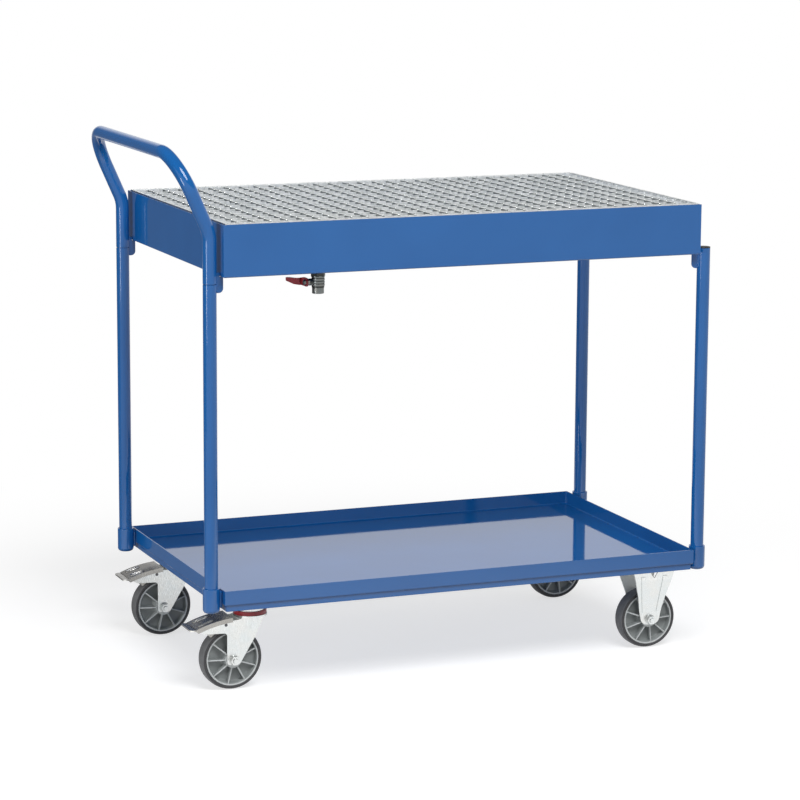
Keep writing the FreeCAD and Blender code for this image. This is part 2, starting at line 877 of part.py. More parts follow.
def axle_bolt(name, x, y):
    """The axle bolt with a washer at each cheek, its nut on the right."""
    outer, bore = "(cheek_inner + cheek_thick + washer_thick)", "axle_radius + running_clear"
    low, high = f"{y} - {outer}", f"{y} + {outer}"
    level = ("wheel_radius", ALONG_Y)
    nut_start = f"{low} - axle_nut"
    head = hexagon(f"{name}_head", "axle_flats", "axle_head", x, high, *level)
    shank = rod(f"{name}_shank", "axle_radius", f"2 * {outer} + axle_nut + thread_end",
                x, f"{nut_start} - thread_end", *level)
    nut = hexagon(f"{name}_nut_block", "axle_flats", "axle_nut", x, nut_start, *level)
    thread = rod(f"{name}_nut_bore", bore, "axle_nut", x, nut_start, *level)
    washers = [
        tube(f"{name}_{place_name}_washer", "washer_radius", bore, "washer_thick", x, along, *level)
        for place_name, along in (("nut", low), ("head", f"{high} - washer_thick"))
    ]
    return [fuse(f"{name}_bolt", [head, shank]), cut(f"{name}_nut", nut, thread), *washers]


def axle_tube(name, x, y):
    """The sleeve that keeps the fork's cheeks apart and carries the wheel."""
    return tube(name, "sleeve_radius", "axle_radius + running_clear", "2 * cheek_inner",
                x, f"{y} - cheek_inner", "wheel_radius", ALONG_Y)


# Fixed castors
def plate_sketch(body, name):
    """The castor plate's outline with its four bolt holes."""
    drawn = sketch_on(body, "XY_Plane", name, "plate_under")
    rectangle(drawn, "plate_length", "plate_width")
    for along, across in corner_signs():
        circle(drawn, along * size("bolt_long") / 2, across * size("bolt_wide") / 2, "hole_radius")
    return drawn


def cheek_sections(body, name, inner, outer):
    """Both cheeks' sections: upright at the axle, then stepping out to the plate's edges."""
    drawn = sketch_on(body, "YZ_Plane", name)
    foot, high = size("bracket_foot") - size("overlap"), size("plate_under") + size("overlap")
    low_bend, high_bend, bend = size("step_low"), size("step_high"), size("step_bend")
    spread = size("bracket_spread") - size("cheek_inner")
    for sign in SIDES.values():
        outline(drawn, [
            (sign * inner, foot, 0), (sign * inner, low_bend, bend),
            (sign * (inner + spread), high_bend, bend), (sign * (inner + spread), high, 0),
            (sign * (outer + spread), high, 0), (sign * (outer + spread), high_bend, bend),
            (sign * outer, low_bend, bend), (sign * outer, foot, 0),
        ])
    return drawn


def bracket_cheeks(side, x, y):
    """Two sheet cheeks trimmed to their tapering outline, with the axle hole and a bend relief."""
    sheets = new_body(f"fixed_sheets_{side}")
    inner, outer = size("cheek_inner"), size("cheek_inner") + size("cheek_thick")
    pad(cheek_sections(sheets, f"fixed_section_{side}", inner, outer), "plate_length", both_ways=True)
    trim = new_body(f"fixed_trim_{side}")
    foot, knee, top = size("bracket_foot"), size("bracket_knee"), size("plate_under") + size("overlap")
    foot_half, knee_half, top_half = (size(f"bracket_{level}_half") for level in ("foot", "knee", "top"))
    foot_round, knee_round = size("bracket_foot_round"), size("bracket_knee_round")
    shape = sketch_on(trim, "XZ_Plane", f"fixed_outline_{side}")
    outline(shape, [
        (-foot_half, foot, foot_round), (foot_half, foot, foot_round), (knee_half, knee, knee_round),
        (top_half, top, 0), (-top_half, top, 0), (-knee_half, knee, knee_round),
    ])
    circle(shape, 0, size("wheel_radius"), "axle_hole")
    notch, high = size("notch_half"), size("notch_high")
    outline(shape, [(-notch, high, 0), (notch, high, 0), (0, size("notch_low"), size("notch_round"))])
    pad(shape, "2 * plate_width", both_ways=True)
    return common(f"fixed_cheeks_{side}", [place(sheets, x, y), place(trim, x, y)])


def bracket_beads(side, x, y):
    """Raised beads that stiffen the cheeks along their front and rear edges."""
    sheets = new_body(f"bead_sheets_{side}")
    face = size("cheek_inner") + size("cheek_thick")
    buried, proud = face - size("overlap"), face + size("bead_rise")
    section = cheek_sections(sheets, f"bead_section_{side}", buried, proud)
    pad(section, "plate_length", both_ways=True)
    trim = new_body(f"bead_trim_{side}")
    shape = sketch_on(trim, "XZ_Plane", f"bead_outline_{side}")
    low, high = size("bead_low"), size("bead_high")
    for edge in (-1, 1):
        outline(shape, [
            (edge * size("bead_foot_inner"), low, 0), (edge * size("bead_foot_outer"), low, 0),
            (edge * size("bead_head_outer"), high, 0), (edge * size("bead_head_inner"), high, 0),
        ])
    pad(shape, "2 * plate_width", both_ways=True)
    return common(f"fixed_beads_{side}", [place(sheets, x, y), place(trim, x, y)])


def fixed_bracket(side, x, y):
    """A pressed bracket: plate and two beaded cheeks that taper to the axle."""
    plate = new_body(f"fixed_plate_{side}")
    pad(plate_sketch(plate, f"fixed_plate_outline_{side}"), "plate_thick")
    return keep(f"fixed_bracket_{side}", fuse(f"fixed_bracket_{side}", [
        place(plate, x, y), bracket_cheeks(side, x, y), bracket_beads(side, x, y),
    ]))


# Swivel castors
def swivel_top_plate(side, y):
    """The bolted plate with its pressed ball cup."""
    body = new_body(f"swivel_plate_{side}")
    drawn = plate_sketch(body, f"swivel_plate_outline_{side}")
    circle(drawn, 0, 0, "king_seat")
    pad(drawn, "plate_thick")
    under, low = size("plate_under"), size("cup_bottom")
    inner, outer, flare = size("cup_inner"), size("cup_outer"), size("cup_flare")
    section = sketch_on(body, "XZ_Plane", f"swivel_cup_{side}")
    buried, neck = under + size("overlap"), under - size("cup_neck")
    outline(section, [
        (inner, low, 0), (outer, low, 0), (outer, neck, 0), (flare, buried, 0), (inner, buried, 0),
    ])
    revolve(section)
    return place(body, "swivel_x", y)


def king_pin(side, y):
    """The swivel's rivet pin with its nut under the crown."""
    low = "crown_bottom - head_clear - king_nut"
    return fuse(f"king_pin_{side}", [
        hexagon(f"king_nut_{side}", "king_flats", "king_nut", "swivel_x", y, low),
        rod(f"king_shank_{side}", "king_radius", f"mount_height - ({low})", "swivel_x", y, low),
    ])


def swivel_fork(side, x, y):
    """A pressed fork: round crown, bridge and two raked cheeks with a beak that carries the pedal."""
    body = new_body(f"swivel_fork_{side}")
    crown = sketch_on(body, "XY_Plane", f"fork_crown_{side}", "crown_bottom")
    circle(crown, size("swivel_trail"), 0, "crown_radius")
    circle(crown, size("swivel_trail"), 0, "king_running")
    pad(crown, "crown_thick")
    outer = size("cheek_inner") + size("cheek_thick")
    back, reach = size("fork_back"), size("bridge_reach")
    bridge = sketch_on(body, "XY_Plane", f"fork_bridge_{side}", "crown_bottom")
    outline(bridge, [(back, -outer, 0), (reach, -outer, 0), (reach, outer, 0), (back, outer, 0)])
    pad(bridge, "crown_thick")
    cheek = sketch_on(body, "XZ_Plane", f"fork_cheek_{side}", "cheek_inner")
    sized_outline(cheek, [
        ("fork_heel", "fork_foot", "fork_foot_round"), ("fork_toe", "fork_foot", "fork_foot_round"),
        ("fork_knee_x", "fork_knee", "fork_knee_round"), ("fork_front", "crown_bottom"),
        ("fork_back", "crown_bottom"), ("fork_neck_x", "fork_neck"),
        ("fork_arch_x", "fork_arch", "fork_arch_round"), ("beak_x", "beak_top", "beak_round"),
        ("beak_under_x", "beak_under", "beak_round"), ("fork_heel", "fork_arm", "fork_foot_round"),
    ])
    circle(cheek, 0, size("wheel_radius"), "axle_hole")
    circle(cheek, size("pin_x"), size("pin_height"), "pin_seat")
    wall = pad(cheek, "cheek_thick")
    mirror(body, [wall], "XZ_Plane")
    return keep(f"swivel_fork_{side}", place(body, x, y))


def pedal_arch():
    """The centre and radius of the pedal's arched underside, and the angle at which it starts."""
    tip = Vector(size("pedal_tip"), size("pedal_low"), 0)
    end = Vector(size("pedal_end"), size("pedal_high"), 0)
    chord, bow = end - tip, size("pedal_bow")
    radius = (chord.Length ** 2 / 4 + bow ** 2) / (2 * bow)
    inward = Vector(chord.y, -chord.x, 0).normalize()
    centre = (tip + end) / 2 + inward * (radius - bow)
    return centre, radius, math.atan2(tip.y - centre.y, tip.x - centre.x)


def on_pedal(run, rise):
    """The point a run along the pedal's arch from its tip, and a rise above its underside."""
    centre, radius, start = pedal_arch()
    angle = start - run / radius
    return centre + Vector(math.cos(angle), math.sin(angle), 0) * (radius + rise)


def arched_strip(drawn, start, end, low, high):
    """A closed outline between two rises, from one run along the pedal to another."""
    middle = (start + end) / 2
    drawn.addGeometry(Part.ArcOfCircle(*(on_pedal(run, high) for run in (start, middle, end))))
    drawn.addGeometry(Part.LineSegment(on_pedal(end, high), on_pedal(end, low)))
    drawn.addGeometry(Part.ArcOfCircle(*(on_pedal(run, low) for run in (end, middle, start))))
    drawn.addGeometry(Part.LineSegment(on_pedal(start, low), on_pedal(start, high)))


def brake_pedal(side, x, y):
    """An arched pedal with a toe lip and two slots, ears on the pin and a tongue over the tyre."""
    body = new_body(f"brake_pedal_{side}")
    thick, rim, overlap = size("pedal_thick"), size("pedal_rim"), size("overlap")
    run = math.hypot(size("pedal_end") - size("pedal_tip"), size("pedal_high") - size("pedal_low"))
    plate = sketch_on(body, "XZ_Plane", f"pedal_plate_{side}")
    arched_strip(plate, 0, run, -rim, thick)
    pad(plate, "pedal_width", both_ways=True)
    hollow = sketch_on(body, "XZ_Plane", f"pedal_hollow_{side}")
    arched_strip(hollow, thick, run + rim, -2 * rim, 0)
    pocket(hollow, "pedal_hollow", both_ways=True)
    lip = sketch_on(body, "XY_Plane", f"pedal_lip_{side}", "pedal_low - lip_drop")
    tip, half, bend = size("pedal_tip"), size("pedal_width") / 2, size("lip_round")
    toe = tip - size("lip_reach")
    outline(lip, [(toe, -half, bend), (tip + thick, -half, 0), (tip + thick, half, 0), (toe, half, bend)])
    pad(lip, "pedal_thick")
    slots = sketch_on(body, "XZ_Plane", f"pedal_slots_{side}", "slot_inner + slot_wide")
    arched_strip(slots, size("slot_from"), size("slot_to"), -overlap, thick + overlap)
    slot = pocket(slots, "slot_wide")
    tongue = sketch_on(body, "XZ_Plane", f"pedal_tongue_{side}")
    root = [on_pedal(size(alias), overlap) for alias in ("shoe_from", "shoe_to")]
    outline(tongue, [
        (root[0].x, root[0].y, 0), (size("shoe_tip_x"), size("shoe_tip"), size("shoe_round")),
        (size("shoe_heel_x"), size("shoe_heel"), size("shoe_round")), (root[1].x, root[1].y, 0),
    ])
    pad(tongue, "shoe_width", both_ways=True)
    ears = sketch_on(body, "XZ_Plane", f"pedal_ears_{side}", "ear_inner")
    pin_x, reach, bend = size("pin_x"), size("ear_reach"), size("ear_round")
    low = size("pin_height") - reach
    root = [on_pedal(size(alias), overlap) for alias in ("ear_from", "ear_to")]
    outline(ears, [
        (root[0].x, root[0].y, 0), (pin_x - reach, low, bend), (pin_x + reach, low, bend),
        (root[1].x, root[1].y, 0),
    ])
    circle(ears, pin_x, size("pin_height"), "pin_running")
    ear = pad(ears, "ear_thick")
    mirror(body, [slot, ear], "XZ_Plane")
    return keep(f"brake_pedal_{side}", place(body, x, y))


def castors():
    """Two fixed castors at the front and two braked swivel castors at the rear."""
    fixed_bolts, fixed_tubes, top_plates, king_pins, bearings = [], [], [], [], []
    for side, sign in SIDES.items():
        y = f"{sign} * castor_y"
        wheel("front", side, "front_axle", y)
        wheel("rear", side, "rear_axle", y)
        fixed_bracket(side, "front_axle", y)
        fixed_bolts += axle_bolt(f"fixed_axle_{side}", "front_axle", y)
        fixed_tubes.append(axle_tube(f"fixed_tube_{side}", "front_axle", y))
        top_plates.append(swivel_top_plate(side, y))
        king_pins.append(king_pin(side, y))
        race_height = "plate_under - crown_top - head_clear"
        bearings.append(tube(f"race_{side}", "race_outer", "race_inner", race_height,
                             "swivel_x", y, "crown_top + head_clear"))
        swivel_fork(side, "rear_axle", y)
        ring = f"swivel_ring_{side}"
        keep(ring, tube(ring, "ring_outer", "ring_inner", "ring_height", "swivel_x", y, "crown_top"))
        axle = axle_bolt(f"rear_axle_{side}", "rear_axle", y)
        keep(f"axle_bolt_{side}", group(f"swivel_axle_{side}", axle))
        keep(f"axle_tube_{side}", axle_tube(f"rear_tube_{side}", "rear_axle", y))
        half = "(cheek_inner + cheek_thick + overlap)"
        pin = rod(f"brake_pin_{side}", "pin_radius", f"2 * {half}", "rear_axle + pin_x", f"{y} - {half}",
                  "pin_height", ALONG_Y)
        keep(f"pedal_pin_{side}", pin)
        brake_pedal(side, "rear_axle", y)
    keep("fixed_axle_bolts", group("fixed_axles", fixed_bolts))
    keep("fixed_axle_tubes", group("fixed_tubes", fixed_tubes))
    keep("swivel_top_plates", group("top_plates", top_plates))
    keep("king_pins", group("king_pins_both", king_pins))
    keep("swivel_bearings", group("races", bearings))


castors()


# Drain: boss, ball valve with its stem towards -X, and the red lever
def drain_boss():
    """A welded flange with a nipple that the valve screws on to."""
    body = new_body("drain_boss")
    flange, nipple, bore = size("boss_radius"), size("nipple_radius"), size("nipple_bore")
    high, mid = size("tray_floor"), size("valve_top")
    low = mid - size("nipple_depth")
    section = sketch_on(body, "XZ_Plane", "boss_section")
    outline(section, [
        (bore, low, 0), (nipple, low, 0), (nipple, mid, 0),
        (flange, mid, size("boss_round")), (flange, high, 0), (bore, high, 0),
    ])
    revolve(section)
    return keep("drain_boss", place(body, "drain_x", "drain_y"))


def valve_body():
    """Hexagon inlet, round ball chamber and stem boss, bored through both ways."""
    inlet = hexagon("valve_hex_end", "valve_flats", "valve_hex", *DRAIN, "valve_top - valve_hex")
    chamber_depth = "valve_body_depth - valve_hex + overlap"
    chamber = rod("valve_chamber", "valve_radius", chamber_depth, *DRAIN, "valve_split")
    boss = rod("valve_stem_boss", "stem_boss_radius", "stem_boss_reach", *DRAIN, "valve_axis", AGAINST_X)
    bores = fuse("valve_bores", [
        rod("valve_through", "valve_bore", "valve_body_depth", *DRAIN, "valve_split"),
        rod("valve_stem_way", "stem_hole", "stem_reach", *DRAIN, "valve_axis", AGAINST_X),
    ])
    return keep("valve_body", cut("valve_shell", fuse("valve_block", [inlet, chamber, boss]), bores))


def valve_end_piece():
    """The outlet half: a spigot into the body and a female thread below."""
    body = new_body("valve_end_piece")
    outer, thread, bore = size("end_radius"), size("thread_radius"), size("ball_bore")
    spigot = size("valve_bore") - size("bore_fit")
    top = size("valve_split") + size("end_spigot")
    split = size("valve_split")
    low = split - size("end_depth")
    shelf = low + size("thread_depth")
    section = sketch_on(body, "XZ_Plane", "end_section")
    outline(section, [
        (thread, low, 0), (outer, low, size("end_round")), (outer, split, 0), (spigot, split, 0),
        (spigot, top, 0), (bore, top, 0), (bore, shelf, 0), (thread, shelf, 0),
    ])
    revolve(section)
    return keep("valve_end_piece", place(body, "drain_x", "drain_y"))


def valve_inside():
    """Ball with its bore and stem slot, two seats, stem and gland nut."""
    ball = doc.addObject("Part::Sphere", "ball_blank")
    bind(ball, Radius="ball_radius")
    place(ball, *DRAIN, "valve_axis")
    waterway = rod("ball_waterway", "ball_bore", "4 * ball_radius", "drain_x", "drain_y - 2 * ball_radius",
                   "valve_axis", ALONG_Y)
    face = "drain_x - ball_radius"
    slot = box("ball_slot", "tang_depth", "2 * tang_half", "2 * ball_radius", face,
               "drain_y - tang_half", "valve_axis - ball_radius")
    keep("valve_ball", cut("ball_slotted", cut("ball_bored", ball, waterway), slot))
    seats = [
        tube(f"seat_{name}", "valve_bore - bore_fit", "seat_inner", "seat_back - seat_gap", *DRAIN, low)
        for name, low in (("upper", "valve_axis + seat_gap"), ("lower", "valve_axis - seat_back"))
    ]
    keep("valve_seats", group("seats", seats))
    shank = rod("stem_shank", "stem_radius", "stem_reach - ball_radius", face, "drain_y", "valve_axis",
                AGAINST_X)
    tang = box("stem_tang", "tang_depth + overlap", "2 * tang_half - bore_fit", "stem_radius",
               f"{face} - overlap", "drain_y - tang_half + bore_fit / 2", "valve_axis - stem_radius / 2")
    keep("valve_stem", fuse("stem", [shank, tang]))
    gland = hexagon("gland_block", "gland_flats", "gland_reach - stem_boss_reach",
                    "drain_x - stem_boss_reach", "drain_y", "valve_axis", AGAINST_X)
    way = rod("gland_way", "stem_hole", "stem_reach", *DRAIN, "valve_axis", AGAINST_X)
    keep("valve_gland_nut", cut("gland", gland, way))


def valve_lever():
    """A flat lever round the stem that droops into a dipped grip."""
    body = new_body("valve_lever")
    hub, neck, bend, axis = size("lever_hub"), size("lever_neck"), size("lever_round"), size("valve_axis")
    blade = sketch_on(body, "YZ_Plane", "lever_blade", "-lever_face - lever_thick")
    end, low, high = size("blade_end"), axis - size("blade_low"), axis + size("blade_high")
    outline(blade, [
        (-hub, axis - hub, bend), (neck, axis - hub, 0), (end, low, 0),
        (end, high, 0), (neck, axis + hub, bend), (-hub, axis + hub, bend),
    ])
    circle(blade, 0, axis, "stem_hole")
    pad(blade, "lever_thick")
    grip = sketch_on(body, "YZ_Plane", "lever_grip", "-lever_face - lever_grip_thick")
    start, turn, tip = size("grip_start"), size("grip_bend"), size("lever_length")
    corner, sweep = size("grip_round"), size("grip_bend_round")
    outline(grip, [
        (start, axis - size("grip_start_low"), 0), (turn, axis - size("grip_bend_low"), sweep),
        (tip, axis - size("grip_end_low"), corner), (tip, axis + size("grip_end_high"), corner),
        (turn, axis + size("grip_bend_high"), sweep), (start, axis + size("grip_start_high"), 0),
    ])
    pad(grip, "lever_grip_thick")
    return keep("valve_lever", place(body, "drain_x", "drain_y"))


def lever_nut():
    """The nut on the stem's end that holds the lever."""
    seat = "(lever_face + lever_thick)"
    block = hexagon("lever_nut_block", "lever_nut_flats", f"stem_reach - {seat} - overlap",
                    f"drain_x - {seat}", "drain_y", "valve_axis", AGAINST_X)
    hole = rod("lever_nut_bore", "stem_hole", "stem_reach", *DRAIN, "valve_axis", AGAINST_X)
    return keep("lever_nut", cut("lever_nut_ring", block, hole))


drain_boss()
valve_body()
valve_end_piece()
valve_inside()
valve_lever()
lever_nut()

# Build everything, refuse a failed feature, then write one file for each sub-part
doc.recompute()
for item in doc.Objects:
    if {"Invalid", "Error"} & set(item.State):
        raise RuntimeError(f"{item.Label} failed: {item.State}")
for piece in pieces:
    if piece.Shape.isNull() or not piece.Shape.isValid() or not piece.Shape.Solids:
        raise RuntimeError(f"{piece.Label} has no valid solid")
os.makedirs("parts", exist_ok=True)
for piece in pieces:
    piece.Shape.exportStep(f"parts/{piece.Label}.step")
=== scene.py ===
"""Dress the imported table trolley: finishes, softened edges, weld seams, stage, light and camera."""

import json
import logging
import math
from collections.abc import Callable, Iterable
from dataclasses import dataclass, field
from enum import Enum
from functools import cached_property

import bmesh
import bpy
from mathutils import Matrix, Vector

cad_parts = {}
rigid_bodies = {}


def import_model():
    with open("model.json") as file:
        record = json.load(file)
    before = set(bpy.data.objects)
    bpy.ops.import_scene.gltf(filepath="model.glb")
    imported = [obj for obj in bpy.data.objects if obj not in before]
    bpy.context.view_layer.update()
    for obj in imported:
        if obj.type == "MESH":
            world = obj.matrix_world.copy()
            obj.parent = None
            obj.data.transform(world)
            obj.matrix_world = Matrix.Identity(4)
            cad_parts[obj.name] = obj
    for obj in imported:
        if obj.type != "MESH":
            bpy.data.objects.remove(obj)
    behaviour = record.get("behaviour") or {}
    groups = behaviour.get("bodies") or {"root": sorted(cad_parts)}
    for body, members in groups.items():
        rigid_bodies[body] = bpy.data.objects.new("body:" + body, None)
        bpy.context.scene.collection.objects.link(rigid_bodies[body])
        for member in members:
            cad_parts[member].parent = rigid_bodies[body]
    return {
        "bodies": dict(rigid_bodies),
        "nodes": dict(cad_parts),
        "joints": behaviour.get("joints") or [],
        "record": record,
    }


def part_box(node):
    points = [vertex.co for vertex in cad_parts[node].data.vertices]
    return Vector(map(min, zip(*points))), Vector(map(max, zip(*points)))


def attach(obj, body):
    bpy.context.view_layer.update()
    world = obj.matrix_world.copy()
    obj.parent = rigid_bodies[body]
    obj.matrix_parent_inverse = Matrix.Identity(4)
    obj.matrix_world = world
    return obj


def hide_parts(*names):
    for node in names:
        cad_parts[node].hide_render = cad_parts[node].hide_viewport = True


log = logging.getLogger("table_trolley")

MM = 0.001

# The pusher's right lies at minus Y
SIDES = {"right": -1, "left": 1}

# Nearly all values of a noise lie between these two
NOISE_LOW = 0.35
NOISE_HIGH = 0.65

Colour = tuple[float, float, float, float]
Span = tuple[float, float]
Place = tuple[float, float, float]
Nodes = bpy.types.NodeTree
Socket = bpy.types.NodeSocket
Piece = bpy.types.Object
Face = bpy.types.MeshPolygon


def linear(hex_colour: str) -> Colour:
    """Turn an sRGB hex colour into linear light.

    Args:
        hex_colour: Six hex digits with or without a leading hash.

    Returns:
        Red, green, blue and an alpha of one.
    """
    digits = hex_colour.lstrip("#")
    shares = [int(digits[start:start + 2], 16) / 255 for start in (0, 2, 4)]
    light = [share / 12.92 if share <= 0.04045 else ((share + 0.055) / 1.055) ** 2.4 for share in shares]
    return (light[0], light[1], light[2], 1.0)


def add_node(
    tree: Nodes,
    kind: str,
    values: dict[str | int, object] | None = None,
    links: dict[str | int, Socket] | None = None,
    **settings: object,
) -> bpy.types.Node:
    """Add a shader node with its settings, socket values and incoming links.

    Args:
        tree: The node tree that takes the node.
        kind: Blender's name of the node type.
        values: Socket values by socket name or number.
        links: Output sockets to join to this node's inputs.
        settings: Plain properties of the node.

    Returns:
        The new node.
    """
    node = tree.nodes.new(kind)
    for name, setting in settings.items():
        setattr(node, name, setting)
    for socket, value in (values or {}).items():
        node.inputs[socket].default_value = value
    for socket, source in (links or {}).items():
        tree.links.new(source, node.inputs[socket])
    return node


@dataclass(frozen=True)
class Finish:
    """A surface: its colour, gloss and how it was made."""

    name: str
    colour: str
    roughness: float
    metallic: float = 0.0
    ior: float = 1.5
    gloss_spread: Span = (1.0, 1.0)

    @cached_property
    def material(self) -> bpy.types.Material:
        """Make the finish's material on first use.

        Returns:
            The one Blender material of this finish.
        """
        made = bpy.data.materials.new(self.name)
        made.use_nodes = True
        made.diffuse_color = linear(self.colour)
        tree = made.node_tree
        shader = tree.nodes["Principled BSDF"]
        shader.inputs["Base Color"].default_value = linear(self.colour)
        shader.inputs["Roughness"].default_value = self.roughness
        shader.inputs["Metallic"].default_value = self.metallic
        if not self.metallic:
            shader.inputs["IOR"].default_value = self.ior
        place = add_node(tree, "ShaderNodeTexCoord").outputs["Object"]
        self.detail(tree, shader, place)
        return made

    def detail(self, tree: Nodes, shader: bpy.types.Node, place: Socket) -> None:
        """Add the marks of how the surface was made. A plain finish has none."""

    def speckle(self, tree: Nodes, place: Socket, grain_mm: float, detail: float = 2.0) -> Socket:
        """A noise of one grain size.

        Args:
            tree: The material's nodes.
            place: The coordinates to read, in metres.
            grain_mm: The size of one grain.
            detail: How many finer octaves lie on top.

        Returns:
            A value between zero and one.
        """
        noise = add_node(
            tree, "ShaderNodeTexNoise", {"Scale": 1 / (grain_mm * MM), "Detail": detail}, {"Vector": place},
        )
        return noise.outputs["Fac"]

    def vary_gloss(
        self, tree: Nodes, shader: bpy.types.Node, share: Socket,
        start: float = NOISE_LOW, end: float = NOISE_HIGH,
    ) -> None:
        """Spread the roughness over the finish's range by a noise.

        Args:
            tree: The material's nodes.
            shader: The shader that takes the roughness.
            share: The noise value.
            start: The noise value of the shiniest spots.
            end: The noise value of the dullest.
        """
        shiny, dull = self.gloss_spread
        limits = {
            "From Min": start, "From Max": end,
            "To Min": self.roughness * shiny, "To Max": self.roughness * dull,
        }
        gloss = add_node(tree, "ShaderNodeMapRange", limits, {"Value": share}).outputs["Result"]
        tree.links.new(gloss, shader.inputs["Roughness"])

    def tint(self, tree: Nodes, shader: bpy.types.Node, share: Socket, first: str, second: str) -> None:
        """Mix two hex colours by a noise into the shader's colour.

        Args:
            tree: The material's nodes.
            shader: The shader that takes the colour.
            share: The noise value.
            first: The sRGB hex colour of its low values.
            second: The colour of its high values.
        """
        ramp = add_node(tree, "ShaderNodeValToRGB", links={"Fac": share})
        for stop, position, hex_colour in zip(
            ramp.color_ramp.elements, (NOISE_LOW, NOISE_HIGH), (first, second),
        ):
            stop.position = position
            stop.color = linear(hex_colour)
        tree.links.new(ramp.outputs["Color"], shader.inputs["Base Color"])

    def relief(self, tree: Nodes, shader: bpy.types.Node, layers: list[tuple[Socket, float]]) -> None:
        """Stack height layers into the shader's normal.

        Args:
            tree: The material's nodes.
            shader: The shader that takes the normal.
            layers: Pairs of a height value and its depth in millimetres.
        """
        normal = None
        for height, depth_mm in layers:
            links = {"Height": height}
            if normal:
                links["Normal"] = normal
            bump = add_node(tree, "ShaderNodeBump", {"Strength": 1.0, "Distance": depth_mm * MM}, links)
            normal = bump.outputs["Normal"]
        tree.links.new(normal, shader.inputs["Normal"])


@dataclass(frozen=True)
class PowderCoat(Finish):
    """Gloss polyester powder coat on sheet and tube: even colour, orange peel and slightly wavy sheet."""

    gloss_spread: Span = (0.8, 1.3)
    second: str = "#1860A5"
    cloud_mm: float = 160.0
    smear_mm: float = 45.0
    peel_mm: float = 3.0
    peel_depth_mm: float = 0.004
    wave_mm: float = 140.0
    wave_depth_mm: float = 0.12

    def detail(self, tree: Nodes, shader: bpy.types.Node, place: Socket) -> None:
        """Cloud the colour a little, vary the gloss, and raise orange peel on a wavy sheet.

        Args:
            tree: The material's nodes.
            shader: The shader that takes the marks.
            place: The coordinates to read, in metres.
        """
        self.tint(tree, shader, self.speckle(tree, place, self.cloud_mm), self.colour, self.second)
        self.vary_gloss(tree, shader, self.speckle(tree, place, self.smear_mm, detail=4.0))
        self.relief(tree, shader, [
            (self.speckle(tree, place, self.wave_mm, detail=0.0), self.wave_depth_mm),
            (self.speckle(tree, place, self.peel_mm, detail=0.0), self.peel_depth_mm),
        ])


@dataclass(frozen=True)
class ZincPlate(Finish):
    """Bright zinc plate on pressed steel: a cool white metal with faint clouds and fine scuffs."""

    gloss_spread: Span = (0.75, 1.35)
    warm: str = "#E6E5DF"
    cloud_mm: float = 22.0
    scuff_mm: float = 1.2
    scuff_draw: float = 0.15
    scuff_depth_mm: float = 0.004

    def detail(self, tree: Nodes, shader: bpy.types.Node, place: Socket) -> None:
        """Cloud the plate between a cool and a warm white, and scuff it along its pressing direction.

        Args:
            tree: The material's nodes.
            shader: The shader that takes the marks.
            place: The coordinates to read, in metres.
        """
        self.tint(tree, shader, self.speckle(tree, place, self.cloud_mm), self.colour, self.warm)
        drawn_out = {"Scale": (1.0, 1.0, self.scuff_draw)}
        stretched = add_node(tree, "ShaderNodeMapping", drawn_out, {"Vector": place}).outputs["Vector"]
        scuff = self.speckle(tree, stretched, self.scuff_mm, detail=3.0)
        self.vary_gloss(tree, shader, scuff)
        self.relief(tree, shader, [(scuff, self.scuff_depth_mm)])


@dataclass(frozen=True)
class Galvanised(Finish):
    """Hot-dip zinc on flat bar: grey crystals of mixed tone, dull where the zinc has aged."""

    gloss_spread: Span = (0.75, 1.25)
    dark: str = "#A9B0B0"
    crystal_mm: float = 7.0
    run_mm: float = 3.0
    run_depth_mm: float = 0.05

    def detail(self, tree: Nodes, shader: bpy.types.Node, place: Socket) -> None:
        """Give each crystal its own tone and gloss, and let the dip leave soft runs.

        Args:
            tree: The material's nodes.
            shader: The shader that takes the marks.
            place: The coordinates to read, in metres.
        """
        crystal = add_node(
            tree, "ShaderNodeTexVoronoi", {"Scale": 1 / (self.crystal_mm * MM)}, {"Vector": place},
        )
        parts = add_node(tree, "ShaderNodeSeparateColor", links={"Color": crystal.outputs["Color"]})
        tone = parts.outputs["Red"]
        self.tint(tree, shader, tone, self.dark, self.colour)
        self.vary_gloss(tree, shader, tone, 0.0, 1.0)
        self.relief(tree, shader, [(self.speckle(tree, place, self.run_mm), self.run_depth_mm)])


@dataclass(frozen=True)
class Moulded(Finish):
    """Injection-moulded plastic or rubber: a fine even grain with slight flow marks in the tone."""

    gloss_spread: Span = (0.85, 1.2)
    second: str = "#767A7A"
    grain_mm: float = 0.8
    grain_depth_mm: float = 0.02
    flow_mm: float = 18.0

    def detail(self, tree: Nodes, shader: bpy.types.Node, place: Socket) -> None:
        """Drift the tone along the flow and raise the mould's grain, drawn coarse enough to show.

        Args:
            tree: The material's nodes.
            shader: The shader that takes the marks.
            place: The coordinates to read, in metres.
        """
        flow = self.speckle(tree, place, self.flow_mm, detail=3.0)
        self.tint(tree, shader, flow, self.colour, self.second)
        grain = self.speckle(tree, place, self.grain_mm)
        self.vary_gloss(tree, shader, grain)
        self.relief(tree, shader, [(grain, self.grain_depth_mm)])


